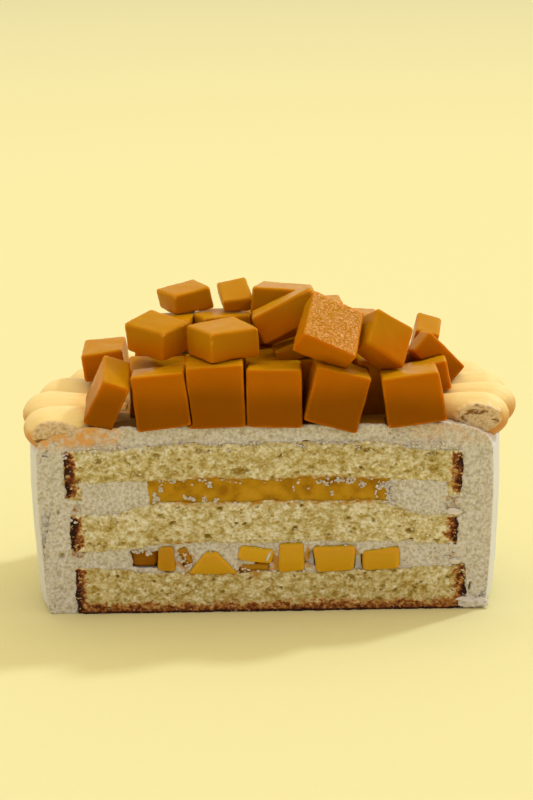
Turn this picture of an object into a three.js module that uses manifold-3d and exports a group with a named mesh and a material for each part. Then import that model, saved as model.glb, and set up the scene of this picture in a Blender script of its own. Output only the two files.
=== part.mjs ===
// A round mango and passion fruit layer cake, cut straight down a third of the way in, so that a
// little more than half of it stands with the cut face to the front. Three sponges, a fruit curd
// and a cream with fruit pieces between them, a coat of cream, a piped border and a heap of mango.
// Millimetres, +Z up, the cut faces -Y, and the origin is the centre of the round cake's base.

import * as THREE from "three";
import { ConvexGeometry } from "three/addons/geometries/ConvexGeometry.js";
import { mergeVertices } from "three/addons/utils/BufferGeometryUtils.js";
import Module from "manifold-3d";

const wasm = await Module();
wasm.setup();

// Driving dimensions
const CAKE_RADIUS = 75;
const CAKE_HEIGHT = 60;
const CUT_Y = -25;
const GAP = 0.3; // clear space between two pieces that touch
const ROOM = 0.5; // the same round the curved sides, where the facets need a little more
const ROOM_IN_FRONT = 3; // how far a cutter reaches in front of the cut
const WELD = 1e-3; // vertices closer than this are one
const DEGREE = Math.PI / 180;

// The coat's outline from the base up: [height, how far it is inside CAKE_RADIUS]
const COAT_PROFILE = [
  [0, 3.2],
  [1.4, 2.2],
  [6, 1.6],
  [20, 0.7],
  [38, 0],
  [52, 0.2],
  [55.6, 1.7],
  [58, 5.6],
  [59.4, 10.6],
  [CAKE_HEIGHT, 16],
];

// The three sponges. The roof and floor are heights at the middle of the cut, and the sags lower
// them towards the rim, at the left and at the right, where the cream is piped as a dam.
const SPONGES = [
  {
    name: "sponge_bottom",
    radius: 65.6,
    x: 1.2,
    floor: 0,
    floorSag: [0, 0],
    roof: 12.3,
    roofSag: [-2.1, -1.3],
  },
  {
    name: "sponge_middle",
    radius: 65,
    x: -0.6,
    floor: 23.3,
    floorSag: [2.5, 0.9],
    roof: 35.5,
    roofSag: [3.7, 5.2],
  },
  {
    name: "sponge_top",
    radius: 66.4,
    x: -0.5,
    floor: 43.8,
    floorSag: [0.5, 1.5],
    roof: 54.2,
    roofSag: [1.7, 2.9],
  },
];
const SAG_FROM = 41; // radius of the level middle
const SAG_TO = 56;
const WAVE_HEIGHT = 0.3; // unevenness of a layer's line on the cut
const WAVE_LENGTH = 31;
const WAVE_DEPTH = 9; // how far behind the cut the waves die out

// The relief of the cut faces: how far they stand proud of the cut or lie behind it, how deep
// their unevenness is, and how wide and high its bumps are
const CRUMB_RELIEF = { proud: 0.1, depth: 1.1, width: 3.1, height: 2.6 };
const CRUMB_AT_EDGE = 0.45; // share of the relief along a sponge's edges
const CURD_RELIEF = { proud: -0.15, depth: -0.35, width: 6, height: 4 };
const CREAM_RELIEF = { proud: -0.1, depth: -0.4, width: 2.4, height: 2.1 };

const SPONGE_BULGE = 0.35; // how far a sponge's side swells at half its height
const LIP_INNER_RADIUS = 62.4; // the top sponge's side crust hangs down as a lip
const LIP_FLOOR = 37.8;
const LIP_INSET = 0.8; // of its lower end inside the sponge's radius
const LIP_SINK = 0.15; // how far its cut face lies behind the cut
const LIP_OVERLAP = 2; // how far up it reaches into the sponge
const LIP_ROOM = 0.8; // how far above the sponge's floor the room inside it ends
const LIP_ROOM_BELOW = 5;

// Curd: its outline leans, so it has a radius and a middle at the floor and at the roof
const CURD_FLOOR = { radius: 44.3, x: 2, z: 28 };
const CURD_ROOF = { radius: 45.1, x: 0.7, z: 47 };
// The two creams reach past the sponges that bound them, which then cut them to their form
const LOWER_CREAM = { radius: 62.6, x: 0.2, floor: 10.6, roof: 25.2 };
const UPPER_CREAM = { radius: 62, x: SPONGES[2].x, floor: 28.4, roof: 45.6 };

// The coat's room for the layers is cut where each one's side stands upright
const ROOM_HEIGHTS = { lowerCream: [14, 23], upperCream: [31, 39], topSponge: 51 };

// Columns of faces along the cut and round the back
const SPONGE_COLUMNS = 26;
const COAT_COLUMNS = 30;
const CREAM_COLUMNS = 22;
const ROOM_COLUMNS = 24;

// The piped border: one drop after another round the rim
const DROP_COUNT = 16;
const DROP_FIRST_ANGLE = -12; // right end, measured from +X towards the back
const DROP_LAST_ANGLE = 193; // left end
const DROP_CROWDING = 0.2; // how much closer than the average they sit at the right end
const DROP_OVERLAP = 1.2; // width of a drop over its distance to the next
const DROP_TAIL_RADIUS = 45;
const DROP_REACH = { left: 77.1, right: 80 }; // radius of the outer ends
const DROP_END_SHORTER = 2; // how much less the drop at the right end reaches
const DROP_CREST = { left: 64.9, right: 67.4 }; // height of the crests
const DROP_HEIGHT = { left: 13, right: 14 };
const DROP_BALL = 8.6; // length of the round outer end
const DROP_FALL = 3.6; // how far the crest falls towards the tail
const DROP_NARROWING = 0.6; // share of the width and height that it loses towards the tail
const DROP_STRAY = { reach: 0.8, crest: 0.6, angle: 1.6 }; // full spread of their unevenness
const DROP_BALL_RINGS = [9, 36, 62, 90]; // degrees round the outer end
const DROP_BODY_RINGS = 2;
const DROP_SIDES = 8;

const MANGO_EDGE = 0.7; // bevel on a cut piece of mango
const MANGO_UNEVEN = 0.45; // how far a corner strays
const FILLING_EDGE = 1.1;
const FILLING_PROUD = 0.7; // how far a piece of the filling stands out of the cut

// Where each seeded source starts
const SEEDS = { curd: 5, upperCream: 9, sponge: 11, lowerCream: 23, border: 71 };
const SPONGE_SEED_STEP = 7;
const FILLING_SEED = 300;
const HOLLOW_SEED = 400;

const COLOURS = {
  sponge: 0xe3d08f,
  cream: 0xeee3cd,
  curd: 0xd99a1c,
  border: 0xf6cf95,
  mango: 0xd98a10,
  pieces: 0xe09c18,
};

// A seeded source of numbers from 0 to 1, the same in every run.
function randomSource(seed) {
  let state = seed >>> 0;
  return () => {
    state = (state + 0x6d2b79f5) >>> 0;
    let mixed = Math.imul(state ^ (state >>> 15), state | 1);
    mixed ^= mixed + Math.imul(mixed ^ (mixed >>> 7), mixed | 61);
    return ((mixed ^ (mixed >>> 14)) >>> 0) / 4294967296;
  };
}

// Smooth noise from 0 to 1 over a plane, with one random value at each whole number.
function smoothNoise(seed) {
  const cellValue = (i, j) => {
    let h = Math.imul(i, 374761393) ^ Math.imul(j, 668265263) ^ Math.imul(seed, 974634777);
    h = Math.imul(h ^ (h >>> 13), 1274126177);
    return ((h ^ (h >>> 16)) >>> 0) / 4294967296;
  };
  const ease = (t) => t * t * (3 - 2 * t);
  return (u, v) => {
    const i = Math.floor(u);
    const j = Math.floor(v);
    const a = ease(u - i);
    const b = ease(v - j);
    const low = cellValue(i, j) * (1 - a) + cellValue(i + 1, j) * a;
    const high = cellValue(i, j + 1) * (1 - a) + cellValue(i + 1, j + 1) * a;
    return low * (1 - b) + high * b;
  };
}

// A closed solid from a list of [x, y, z] triangles' corners.
function solidFromTriangles(corners) {
  const geometry = new THREE.BufferGeometry();
  geometry.setAttribute("position", new THREE.Float32BufferAttribute(corners.flat(), 3));
  return solidFromGeometry(geometry);
}

// A closed solid from a three.js geometry, with its vertices merged and empty faces dropped.
function solidFromGeometry(geometry) {
  const bare = new THREE.BufferGeometry();
  const source = geometry.index ? geometry.toNonIndexed() : geometry;
  bare.setAttribute("position", source.getAttribute("position"));
  const merged = mergeVertices(bare, WELD);
  const faces = [];
  for (let i = 0; i < merged.index.count; i += 3) {
    const [a, b, c] = [0, 1, 2].map((k) => merged.index.getX(i + k));
    if (a !== b && b !== c && c !== a) faces.push(a, b, c);
  }
  return new wasm.Manifold(
    new wasm.Mesh({
      numProp: 3,
      vertProperties: new Float32Array(merged.attributes.position.array),
      triVerts: new Uint32Array(faces),
    }),
  );
}

// The largest body of a solid, so that no loose scrap is left after a cut.
function largestBody(solid) {
  const bodies = solid.decompose();
  return bodies.reduce((best, body) => (body.volume() > best.volume() ? body : best));
}

function geometryFromSolid(solid) {
  const mesh = solid.getMesh();
  const geometry = new THREE.BufferGeometry();
  const positions = new Float32Array(mesh.numVert * 3);
  for (let i = 0; i < mesh.numVert; i++) {
    positions.set(mesh.vertProperties.subarray(i * mesh.numProp, i * mesh.numProp + 3), i * 3);
  }
  geometry.setAttribute("position", new THREE.BufferAttribute(positions, 3));
  geometry.setIndex(new THREE.BufferAttribute(new Uint32Array(mesh.triVerts), 1));
  geometry.computeVertexNormals();
  return geometry;
}

// A solid lofted through discs that are all cut off at the same plane. `rings` lists them from
// the floor up, each with radius, x of its centre and a height z(x, y). `relief(x, z)` is how far
// the cut face stands out towards the front.
function cutDiscLoft({ rings, columns, relief = () => 0, capRows = [], front = CUT_Y }) {
  const levels = rings.map((ring, level) => {
    const corner = Math.asin(front / ring.radius);
    const halfCut = ring.radius * Math.cos(corner);
    const cutLine = [];
    const backArc = [];
    for (let i = 0; i <= columns; i++) {
      const share = i / columns;
      const x = ring.x - halfCut + 2 * halfCut * share;
      const angle = Math.PI - corner - (Math.PI - 2 * corner) * share;
      const arcX = ring.x + ring.radius * Math.cos(angle);
      const arcY = ring.radius * Math.sin(angle);
      const atCorner = i === 0 || i === columns;
      const z = ring.z(x, front);
      const out = atCorner ? 0 : relief(x, z, level);
      cutLine.push([x, front - out, z]);
      backArc.push(atCorner ? cutLine[i] : [arcX, arcY, ring.z(arcX, arcY)]);
    }
    return { cutLine, backArc };
  });

  const triangles = [];
  const quad = (a, b, c, d) => triangles.push(a, b, c, a, c, d);
  for (let k = 0; k + 1 < levels.length; k++) {
    const low = levels[k];
    const high = levels[k + 1];
    for (let i = 0; i < columns; i++) {
      quad(low.cutLine[i], low.cutLine[i + 1], high.cutLine[i + 1], high.cutLine[i]);
      quad(low.backArc[i + 1], low.backArc[i], high.backArc[i], high.backArc[i + 1]);
    }
  }
  const cap = (level, ring, facesUp) => {
    const between = (share) =>
      level.cutLine.map((from, i) => {
        const to = level.backArc[i];
        if (i === 0 || i === columns) return from;
        const x = from[0] + (to[0] - from[0]) * share;
        const y = from[1] + (to[1] - from[1]) * share;
        return [x, y, ring.z(x, y)];
      });
    const rows = [level.cutLine, ...capRows.map(between), level.backArc];
    for (let r = 0; r + 1 < rows.length; r++) {
      for (let i = 0; i < columns; i++) {
        const corners = [rows[r][i], rows[r][i + 1], rows[r + 1][i + 1], rows[r + 1][i]];
        quad(...(facesUp ? corners : corners.reverse()));
      }
    }
  };
  cap(levels[0], rings[0], false);
  cap(levels[levels.length - 1], rings[rings.length - 1], true);
  return solidFromTriangles(triangles);
}

// A plain cut disc that reaches in front of the cut, used to cut room in one piece for another.
function roomCutter(radius, x, floor, roof) {
  const ring = (z) => ({ radius, x, z: () => z });
  const rings = [ring(floor), ring(roof)];
  return cutDiscLoft({ rings, columns: ROOM_COLUMNS, front: CUT_Y - ROOM_IN_FRONT });
}

// The height of a layer's surface at a place: level in the middle, sagging towards the rim,
// and with small waves that die out behind the cut.
function layerHeight(height, [sagLeft, sagRight], seed) {
  const phase = seed * 1.7;
  return (x, y) => {
    const radius = Math.hypot(x, y);
    const sag = THREE.MathUtils.lerp(sagLeft, sagRight, 0.5 + (0.5 * x) / radius);
    const ends = THREE.MathUtils.smoothstep(radius, SAG_FROM, SAG_TO);
    const nearCut = 1 - THREE.MathUtils.smoothstep(y, CUT_Y, CUT_Y + WAVE_DEPTH);
    const turn = (2 * Math.PI * x) / WAVE_LENGTH;
    const wave = Math.sin(turn + phase) + 0.6 * Math.sin(2.3 * turn + 2 * phase);
    return height - sag * ends + WAVE_HEIGHT * wave * nearCut;
  };
}

// How far a cut face stands out at a place.
function cutRelief({ proud, depth, width, height }, seed) {
  const bumps = smoothNoise(seed);
  return (x, z) => proud + depth * bumps(x / width, z / height);
}

// Sponge: a disc whose cut face is crumbly and stands a little proud, with a rough baked side.
function makeSponge(sponge, seed) {
  const crumb = cutRelief(CRUMB_RELIEF, seed);
  const floor = sponge.floor ? layerHeight(sponge.floor, sponge.floorSag, seed) : () => 0;
  const roof = layerHeight(sponge.roof, sponge.roofSag, seed + 1);
  const rows = 3;
  const rings = [];
  for (let row = 0; row <= rows; row++) {
    const share = row / rows;
    const bulge = SPONGE_BULGE * Math.sin(Math.PI * share);
    rings.push({
      radius: sponge.radius + bulge - SPONGE_BULGE,
      x: sponge.x,
      z: (x, y) => floor(x, y) * (1 - share) + roof(x, y) * share,
    });
  }
  const relief = (x, z, level) => {
    const edge = level === 0 || level === rows ? CRUMB_AT_EDGE : 1;
    return edge * crumb(x, z);
  };
  return cutDiscLoft({ rings, columns: SPONGE_COLUMNS, relief, capRows: [CRUMB_RELIEF.proud] });
}

// The top sponge's crust, where it hangs down past the sponge's floor all round the side.
function makeLip(sponge) {
  const ring = (z, inset) => ({ radius: sponge.radius - inset, x: sponge.x, z: () => z });
  const relief = () => -LIP_SINK;
  const rings = [ring(LIP_FLOOR, LIP_INSET), ring(sponge.floor + LIP_OVERLAP, SPONGE_BULGE)];
  const disc = cutDiscLoft({ rings, columns: SPONGE_COLUMNS, relief });
  const [low, high] = [LIP_FLOOR - LIP_ROOM_BELOW, sponge.floor + LIP_ROOM];
  return disc.subtract(roomCutter(LIP_INNER_RADIUS, sponge.x, low, high));
}

const sponges = SPONGES.map((sponge, i) =>
  makeSponge(sponge, SEEDS.sponge + SPONGE_SEED_STEP * i),
);
sponges[2] = sponges[2].add(makeLip(SPONGES[2]));
const [bottomSponge, middleSponge, topSponge] = sponges;

// A layer that fills the space between two sponges, out to its floor and roof outlines.
function fillBetween(below, above, floor, roof, relief) {
  const rings = [0, 0.5, 1].map((share) => ({
    radius: THREE.MathUtils.lerp(floor.radius, roof.radius, share),
    x: THREE.MathUtils.lerp(floor.x, roof.x, share),
    z: () => THREE.MathUtils.lerp(floor.z, roof.z, share),
  }));
  const block = cutDiscLoft({ rings, columns: CREAM_COLUMNS, relief });
  return largestBody(
    block.subtract(below.translate([0, 0, GAP])).subtract(above.translate([0, 0, -GAP])),
  );
}

// The floor and roof outlines of a layer.
const outlines = ({ radius, x, floor, roof }) => [floor, roof].map((z) => ({ radius, x, z }));

// Fruit curd: the smooth sheet of mango and passion fruit in the upper filling.
function makeCurd() {
  const relief = cutRelief(CURD_RELIEF, SEEDS.curd);
  return fillBetween(middleSponge, topSponge, CURD_FLOOR, CURD_ROOF, relief);
}

// Cream round the curd: a ring piped inside the coat to hold it.
function makeUpperCream() {
  const relief = cutRelief(CREAM_RELIEF, SEEDS.upperCream);
  const [floor, roof] = outlines(UPPER_CREAM);
  const ring = fillBetween(middleSponge, topSponge, floor, roof, relief);
  const curdRoom = [CURD_FLOOR, CURD_ROOF].map(({ radius, x, z }) => ({
    radius: radius + GAP,
    x,
    z: () => z,
  }));
  const columns = CREAM_COLUMNS;
  return ring.subtract(cutDiscLoft({ rings: curdRoom, columns, front: CUT_Y - ROOM_IN_FRONT }));
}

// A cut piece of mango: a block with bevelled edges and slightly stray corners. `taper` narrows
// its top in x and y.
function mangoBlock(size, seed, taper, edge) {
  const random = randomSource(seed);
  const points = [];
  for (const side of [-1, 1]) {
    for (const face of [-1, 1]) {
      for (const end of [-1, 1]) {
        const stray = [0, 1, 2].map(() => (random() - 0.5) * 2 * MANGO_UNEVEN);
        const narrow = end > 0 ? [taper[0], taper[1], 1] : [1, 1, 1];
        const corner = [side, face, end].map(
          (sign, axis) => (sign * size[axis] * narrow[axis]) / 2 + stray[axis],
        );
        const signs = [side, face, end];
        for (let axis = 0; axis < (edge ? 3 : 1); axis++) {
          const point = corner.map((value, k) => value - (k === axis ? 0 : signs[k] * edge * 0.7));
          points.push(new THREE.Vector3(...point));
        }
      }
    }
  }
  return new ConvexGeometry(points);
}

// Fruit pieces that show in the lower filling, left to right along the cut: the middle of the
// piece across and up, its size, how far it leans to the left in the plane of the cut, its taper,
// and how far back from the cut it lies.
const FILLING_PIECES = [
  { x: -38.3, z: 17.4, size: [8.4, 9, 5.8], roll: 0, taper: [1.06, 1], back: 3 },
  { x: -31.4, z: 17.6, size: [5.9, 11, 7.7], roll: 5, taper: [0.85, 1], back: 0 },
  { x: -25.5, z: 18.1, size: [3.6, 8, 6.2], roll: 16, taper: [0.9, 1], back: 1.4 },
  { x: -17.3, z: 16, size: [15.8, 12, 7.4], roll: 1.5, taper: [0.28, 1], back: 0 },
  { x: -3.3, z: 18.7, size: [11, 10, 4.9], roll: -6, taper: [0.98, 1], back: 0 },
  { x: 7.8, z: 17.7, size: [8.2, 11, 10], roll: 0, taper: [0.94, 1], back: 0 },
  { x: 21.5, z: 17.1, size: [12.2, 12, 8.6], roll: 1, taper: [1.08, 1], back: 0 },
  { x: 36, z: 16.4, size: [11.4, 11, 6.6], roll: 6, taper: [1, 1], back: 0 },
  { x: -3.8, z: 13.9, size: [10.6, 8, 2.9], roll: -2, taper: [0.9, 1], back: 1.6 },
];

// Places on the cut where the cream has fallen away beside a piece
const HOLLOWS = [
  { x: 14.1, z: 17.4, size: [4, 4.6, 6], taper: 0.45 },
  { x: 29.2, z: 16, size: [3.4, 3.6, 6.4], taper: 0.7 },
];

// A piece of the filling. As `room` it is grown by the gap and reaches out in front of the cut.
function makeFillingPiece(piece, index, { grow = 0, room = false } = {}) {
  const size = piece.size.map((length) => length + 2 * grow);
  const reach = room ? piece.back + ROOM_IN_FRONT : 0;
  size[1] += reach;
  const block = mangoBlock(size, FILLING_SEED + index, piece.taper, FILLING_EDGE);
  block.rotateY(-piece.roll * DEGREE);
  const y = CUT_Y + piece.back + piece.size[1] / 2 - reach / 2 - FILLING_PROUD;
  block.translate(piece.x, y, piece.z);
  return solidFromGeometry(block);
}

const fitBetweenSponges = (solid) =>
  largestBody(
    solid
      .subtract(bottomSponge.translate([0, 0, GAP]))
      .subtract(middleSponge.translate([0, 0, -GAP])),
  );

const fillingPieces = FILLING_PIECES.map((piece, i) => {
  const whole = makeFillingPiece(piece, i);
  const apart = FILLING_PIECES.slice(0, i).reduce(
    (left, before, k) => left.subtract(makeFillingPiece(before, k, { grow: GAP })),
    whole,
  );
  return fitBetweenSponges(apart);
});

// Cream with the fruit pieces in it: the lower filling.
function makeLowerCream() {
  const relief = cutRelief(CREAM_RELIEF, SEEDS.lowerCream);
  const [floor, roof] = outlines(LOWER_CREAM);
  let cream = fillBetween(bottomSponge, middleSponge, floor, roof, relief);
  FILLING_PIECES.forEach((piece, i) => {
    cream = cream.subtract(makeFillingPiece(piece, i, { grow: GAP, room: true }));
  });
  HOLLOWS.forEach((hollow, i) => {
    const block = mangoBlock(hollow.size, HOLLOW_SEED + i, [hollow.taper, 1], FILLING_EDGE);
    block.translate(hollow.x, CUT_Y, hollow.z);
    cream = cream.subtract(solidFromGeometry(block));
  });
  return largestBody(cream);
}

// The coat's outside from the base up, or only above `from`, moved out by `grow`.
function coatOutside({ grow = 0, from = 0, relief }) {
  const profile = COAT_PROFILE.filter(([height]) => height >= from);
  const rings = profile.map(([height, inset], k) => ({
    radius: CAKE_RADIUS - inset + grow,
    x: 0,
    z: () => height + (k === profile.length - 1 ? grow : 0),
  }));
  return cutDiscLoft({ rings, columns: COAT_COLUMNS, relief });
}

// Mango on top. Each piece has the place of its middle, `turn` about the upright, `tip` towards the
// front and `lean` to the right in degrees, and its size. They are listed from the cream up. Where
// one presses on a piece before it, it gives way and keeps its distance.
const MANGO = [
  // Front row, over the edge of the cut, left to right
  { at: [-48.5, -17.5, 69.5], turn: 6, tip: 15, lean: 23, size: [8.8, 18, 16.5] },
  { at: [-31.8, -20.5, 68.6], turn: -2, tip: -1, lean: -6.5, size: [16.7, 13, 17.7] },
  { at: [-15, -18, 70.3], turn: 1, tip: 1, lean: -2.5, size: [17.8, 17, 20] },
  { at: [3.3, -18, 68.9], turn: -2, tip: -2, lean: -0.5, size: [16.6, 16.8, 18.2] },
  { at: [22.3, -18.8, 68.5], turn: 2, tip: -1, lean: 16.5, size: [17.6, 17, 18.3] },
  { at: [46, -20.6, 68.3], turn: 3, tip: -3, lean: -7.5, size: [17.8, 14.8, 16] },
  // Second row
  { at: [-33, -4.6, 67.8], turn: 1, tip: 9, lean: -1, size: [18, 15, 16.4] },
  { at: [-15, 1.2, 68.2], turn: -5, tip: 2, lean: 2, size: [15.5, 16, 18] },
  { at: [2.2, 1.4, 67.8], turn: 6, tip: 0, lean: -2, size: [15.6, 17, 18.5] },
  { at: [19.4, 0.8, 67.7], turn: -3, tip: 0, lean: 3, size: [15.5, 16, 17.5] },
  { at: [36, -3.4, 68.4], turn: 4, tip: 2, lean: 2, size: [14.5, 15, 18.5] },
  { at: [51, -2.4, 69.5], turn: -1, tip: -7, lean: -12, size: [15, 14, 9.4] },
  // Third and fourth rows, with the outer ones on the piped border
  { at: [-51.5, 20.5, 71.8], turn: -3, tip: 5, lean: -6.5, size: [14, 17, 9.3] },
  { at: [-32, 14.2, 67.8], turn: -8, tip: 0, lean: 4, size: [17, 17, 18] },
  { at: [-12.7, 19.8, 68], turn: 5, tip: 3, lean: -3, size: [18, 17, 18] },
  { at: [7, 20.3, 67.8], turn: -6, tip: -2, lean: 2, size: [17, 16, 18] },
  { at: [25.5, 19, 67.8], turn: 9, tip: 2, lean: 3, size: [17, 17, 18] },
  { at: [-25, 36.5, 66.8], turn: 24, tip: -6, lean: -5, size: [17, 16, 16] },
  { at: [-3.5, 39.3, 67.2], turn: -4, tip: -5, lean: 3, size: [18, 16.5, 17] },
  { at: [17, 38.3, 67], turn: -14, tip: -5, lean: 4, size: [17, 16, 16.5] },
  { at: [38.2, 32, 67.2], turn: -38, tip: -4, lean: 8, size: [14, 15, 15] },
  { at: [40.6, 13, 66.4], turn: -12, tip: 0, lean: -3, size: [12, 14, 14.5] },
  { at: [52, 22, 73.3], turn: -6, tip: 10, lean: 14, size: [7.8, 15, 19] },
  { at: [55.3, 9, 73], turn: 13, tip: -10, lean: 47, size: [17.2, 8.5, 8.2] },
  // Second layer
  { at: [-33.2, -8, 85.4], turn: -40, tip: 8, lean: 7, size: [15.5, 12.5, 10] },
  { at: [-12.5, -14.6, 85.4], turn: 31, tip: 1.5, lean: -1.5, size: [17.4, 15.6, 9.6] },
  { at: [9.8, -1.8, 79.3], turn: 6, tip: 0, lean: -20, size: [13, 11, 5] },
  { at: [7.7, -2.8, 90.7], turn: 1, tip: -4, lean: -26, size: [21, 12, 9.6] },
  { at: [22.5, 2.4, 82.3], turn: 12, tip: 0, lean: 4, size: [13, 11.5, 11] },
  { at: [20.4, -17.4, 88.3], turn: 5, tip: 41, lean: 26, size: [17.8, 18.4, 9.2] },
  { at: [37.6, -12.8, 83.9], turn: 20, tip: -32, lean: 35, size: [14.8, 9, 14.2] },
  { at: [-28.5, 12.5, 82.4], turn: -8, tip: 0, lean: -2, size: [13, 15, 10] },
  { at: [-13.4, 11.4, 83.4], turn: 20, tip: -2, lean: -2, size: [15.5, 15, 10.4] },
  { at: [31.4, 17, 82], turn: 5, tip: 0, lean: 2, size: [12.6, 15, 9.4] },
  { at: [4.3, 18.8, 82.2], turn: -6, tip: 0, lean: 3, size: [15.5, 14, 10.6] },
  { at: [19.8, 21.2, 84.4], turn: 5, tip: 0, lean: -1, size: [12, 13, 12.4] },
  { at: [-11.9, 30, 81.2], turn: -18, tip: -12, lean: -4, size: [16, 13, 9] },
  { at: [8, 34.5, 80.8], turn: 14, tip: -10, lean: 5, size: [15, 14, 9] },
  // Top
  { at: [-25, 19.8, 91.8], turn: 27, tip: 2, lean: -8, size: [13.8, 13.6, 7.2] },
  { at: [-8.7, 17.2, 92.6], turn: 7, tip: 14, lean: -6, size: [9.6, 14.5, 5.4] },
  { at: [5.8, 14.6, 92.4], turn: -15, tip: -5, lean: 1, size: [15.6, 16.5, 8.2] },
];

// A piece of mango where it lies. Grown by the gap and with plain edges it cuts room in the rest.
function placedMango(piece, index, asRoom = false) {
  const size = piece.size.map((length) => length + (asRoom ? 2 * GAP : 0));
  const block = mangoBlock(size, 500 + index, [1, 1], asRoom ? 0 : MANGO_EDGE);
  const [tip, lean, turn] = [piece.tip, piece.lean, piece.turn].map((angle) => angle * DEGREE);
  block.applyMatrix4(new THREE.Matrix4().makeRotationFromEuler(new THREE.Euler(tip, lean, turn, "ZYX")));
  block.translate(...piece.at);
  return solidFromGeometry(block);
}

const boxesMeet = (a, b) => [0, 1, 2].every((k) => a.min[k] < b.max[k] && b.min[k] < a.max[k]);

const mangoPieces = [];
MANGO.forEach((piece, index) => {
  let solid = placedMango(piece, index);
  for (const before of mangoPieces) {
    if (boxesMeet(before.box, solid.boundingBox())) solid = largestBody(solid.subtract(before.grown));
  }
  const grown = placedMango(piece, index, true);
  mangoPieces.push({ solid, grown, box: grown.boundingBox() });
});

const coatRelief = smoothNoise(31);
const coatBlank = coatOutside({ relief: (x, z) => -0.1 - 0.5 * coatRelief(x / 2.6, z / 2.3) });
const underBorder = coatOutside({ grow: GAP, from: 38, relief: () => ROOM_IN_FRONT });

// Cream coat: the wall and the top, hollowed for the layers and dented by the lowest mango.
function makeCoat() {
  const [bottom, middle, top] = SPONGES;
  const lowest = ({ floor, floorSag }) => floor - Math.max(...floorSag) - 2 * WAVE_HEIGHT;
  const highest = ({ roof, roofSag }) => roof - Math.min(...roofSag) + 2 * WAVE_HEIGHT;
  const rooms = [
    roomCutter(bottom.radius + ROOM, bottom.x, lowest(bottom), highest(bottom)),
    roomCutter(LOWER_CREAM.radius + ROOM, LOWER_CREAM.x, ...ROOM_HEIGHTS.lowerCream),
    roomCutter(middle.radius + ROOM, middle.x, lowest(middle), highest(middle)),
    roomCutter(UPPER_CREAM.radius + ROOM, top.x, ...ROOM_HEIGHTS.upperCream),
    roomCutter(top.radius + ROOM, top.x, LIP_FLOOR - GAP, ROOM_HEIGHTS.topSponge),
  ];
  let coat = rooms.reduce((left, room) => left.subtract(room), coatBlank);
  coat = coat.subtract(topSponge.translate([0, 0, GAP]));
  for (const { grown, box } of mangoPieces) {
    if (box.min[2] < CAKE_HEIGHT) coat = coat.subtract(grown);
  }
  return largestBody(coat);
}

// One drop of the border: it lies across the rim, with a ball of an end outside and drawn out to
// a low tail towards the middle.
function borderDrop({ reach, crest, height, width }) {
  const rings = DROP_BALL_RINGS.map((degrees) => {
    const swell = Math.sin(degrees * DEGREE);
    return {
      r: reach - DROP_BALL * (1 - Math.cos(degrees * DEGREE)),
      halfWidth: (width / 2) * swell,
      halfHeight: (height / 2) * swell,
      z: crest - height / 2,
    };
  });
  const bodyStart = reach - DROP_BALL;
  for (let i = 1; i <= DROP_BODY_RINGS; i++) {
    const along = i / DROP_BODY_RINGS;
    const taper = 1 - DROP_NARROWING * THREE.MathUtils.smoothstep(along, 0, 1);
    rings.push({
      r: THREE.MathUtils.lerp(bodyStart, DROP_TAIL_RADIUS, along),
      halfWidth: (width / 2) * taper,
      halfHeight: (height / 2) * taper,
      z: crest - DROP_FALL * along ** 2 - (height / 2) * taper,
    });
  }
  const point = (ring, side) => {
    const angle = (2 * Math.PI * side) / DROP_SIDES;
    return [
      ring.r,
      ring.halfWidth * Math.cos(angle),
      ring.z + ring.halfHeight * Math.sin(angle),
    ];
  };
  const triangles = [];
  for (let i = 0; i + 1 < rings.length; i++) {
    for (let side = 0; side < DROP_SIDES; side++) {
      const [a, b] = [point(rings[i], side), point(rings[i], side + 1)];
      const [c, d] = [point(rings[i + 1], side + 1), point(rings[i + 1], side)];
      triangles.push(a, c, b, a, d, c);
    }
  }
  [rings[0], rings[rings.length - 1]].forEach((ring, atTail) => {
    const centre = [ring.r, 0, ring.z];
    for (let side = 0; side < DROP_SIDES; side++) {
      const [a, b] = [point(ring, side), point(ring, side + 1)];
      triangles.push(...(atTail ? [b, a, centre] : [a, b, centre]));
    }
  });
  return solidFromTriangles(triangles);
}

// The angles of the drops, and how far the next one is, closer together at the right end.
function dropAngles() {
  const span = DROP_LAST_ANGLE - DROP_FIRST_ANGLE;
  return Array.from({ length: DROP_COUNT }, (_, i) => {
    const share = i / (DROP_COUNT - 1);
    return {
      angle: DROP_FIRST_ANGLE + span * share * (1 - DROP_CROWDING * (1 - share)),
      step: (span / (DROP_COUNT - 1)) * (1 + DROP_CROWDING * (2 * share - 1)),
    };
  });
}

// The piped border: one drop after another round the rim, each run into the next.
function makeBorder() {
  const random = randomSource(SEEDS.border);
  const drops = dropAngles().map(({ angle, step }, index) => {
    const share = 0.5 - 0.5 * Math.cos(angle * DEGREE); // 0 at the right, 1 at the left
    const size = ({ left, right }) => THREE.MathUtils.lerp(right, left, share);
    const reach = size(DROP_REACH) - (index === 0 ? DROP_END_SHORTER : 0);
    const drop = borderDrop({
      reach: reach + DROP_STRAY.reach * (random() - 0.5),
      crest: size(DROP_CREST) + DROP_STRAY.crest * (random() - 0.5),
      height: size(DROP_HEIGHT),
      width: DROP_OVERLAP * (reach - DROP_BALL) * step * DEGREE,
    });
    return drop.rotate([0, 0, angle + DROP_STRAY.angle * (random() - 0.5)]);
  });
  let border = wasm.Manifold.union(drops);
  const inFront = new THREE.BoxGeometry(300, 100, 100);
  inFront.translate(0, CUT_Y - 50, 60);
  border = border.subtract(solidFromGeometry(inFront)).subtract(underBorder);
  for (const { grown, box } of mangoPieces) {
    if (boxesMeet(box, border.boundingBox())) border = border.subtract(grown);
  }
  return largestBody(border);
}

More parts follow.
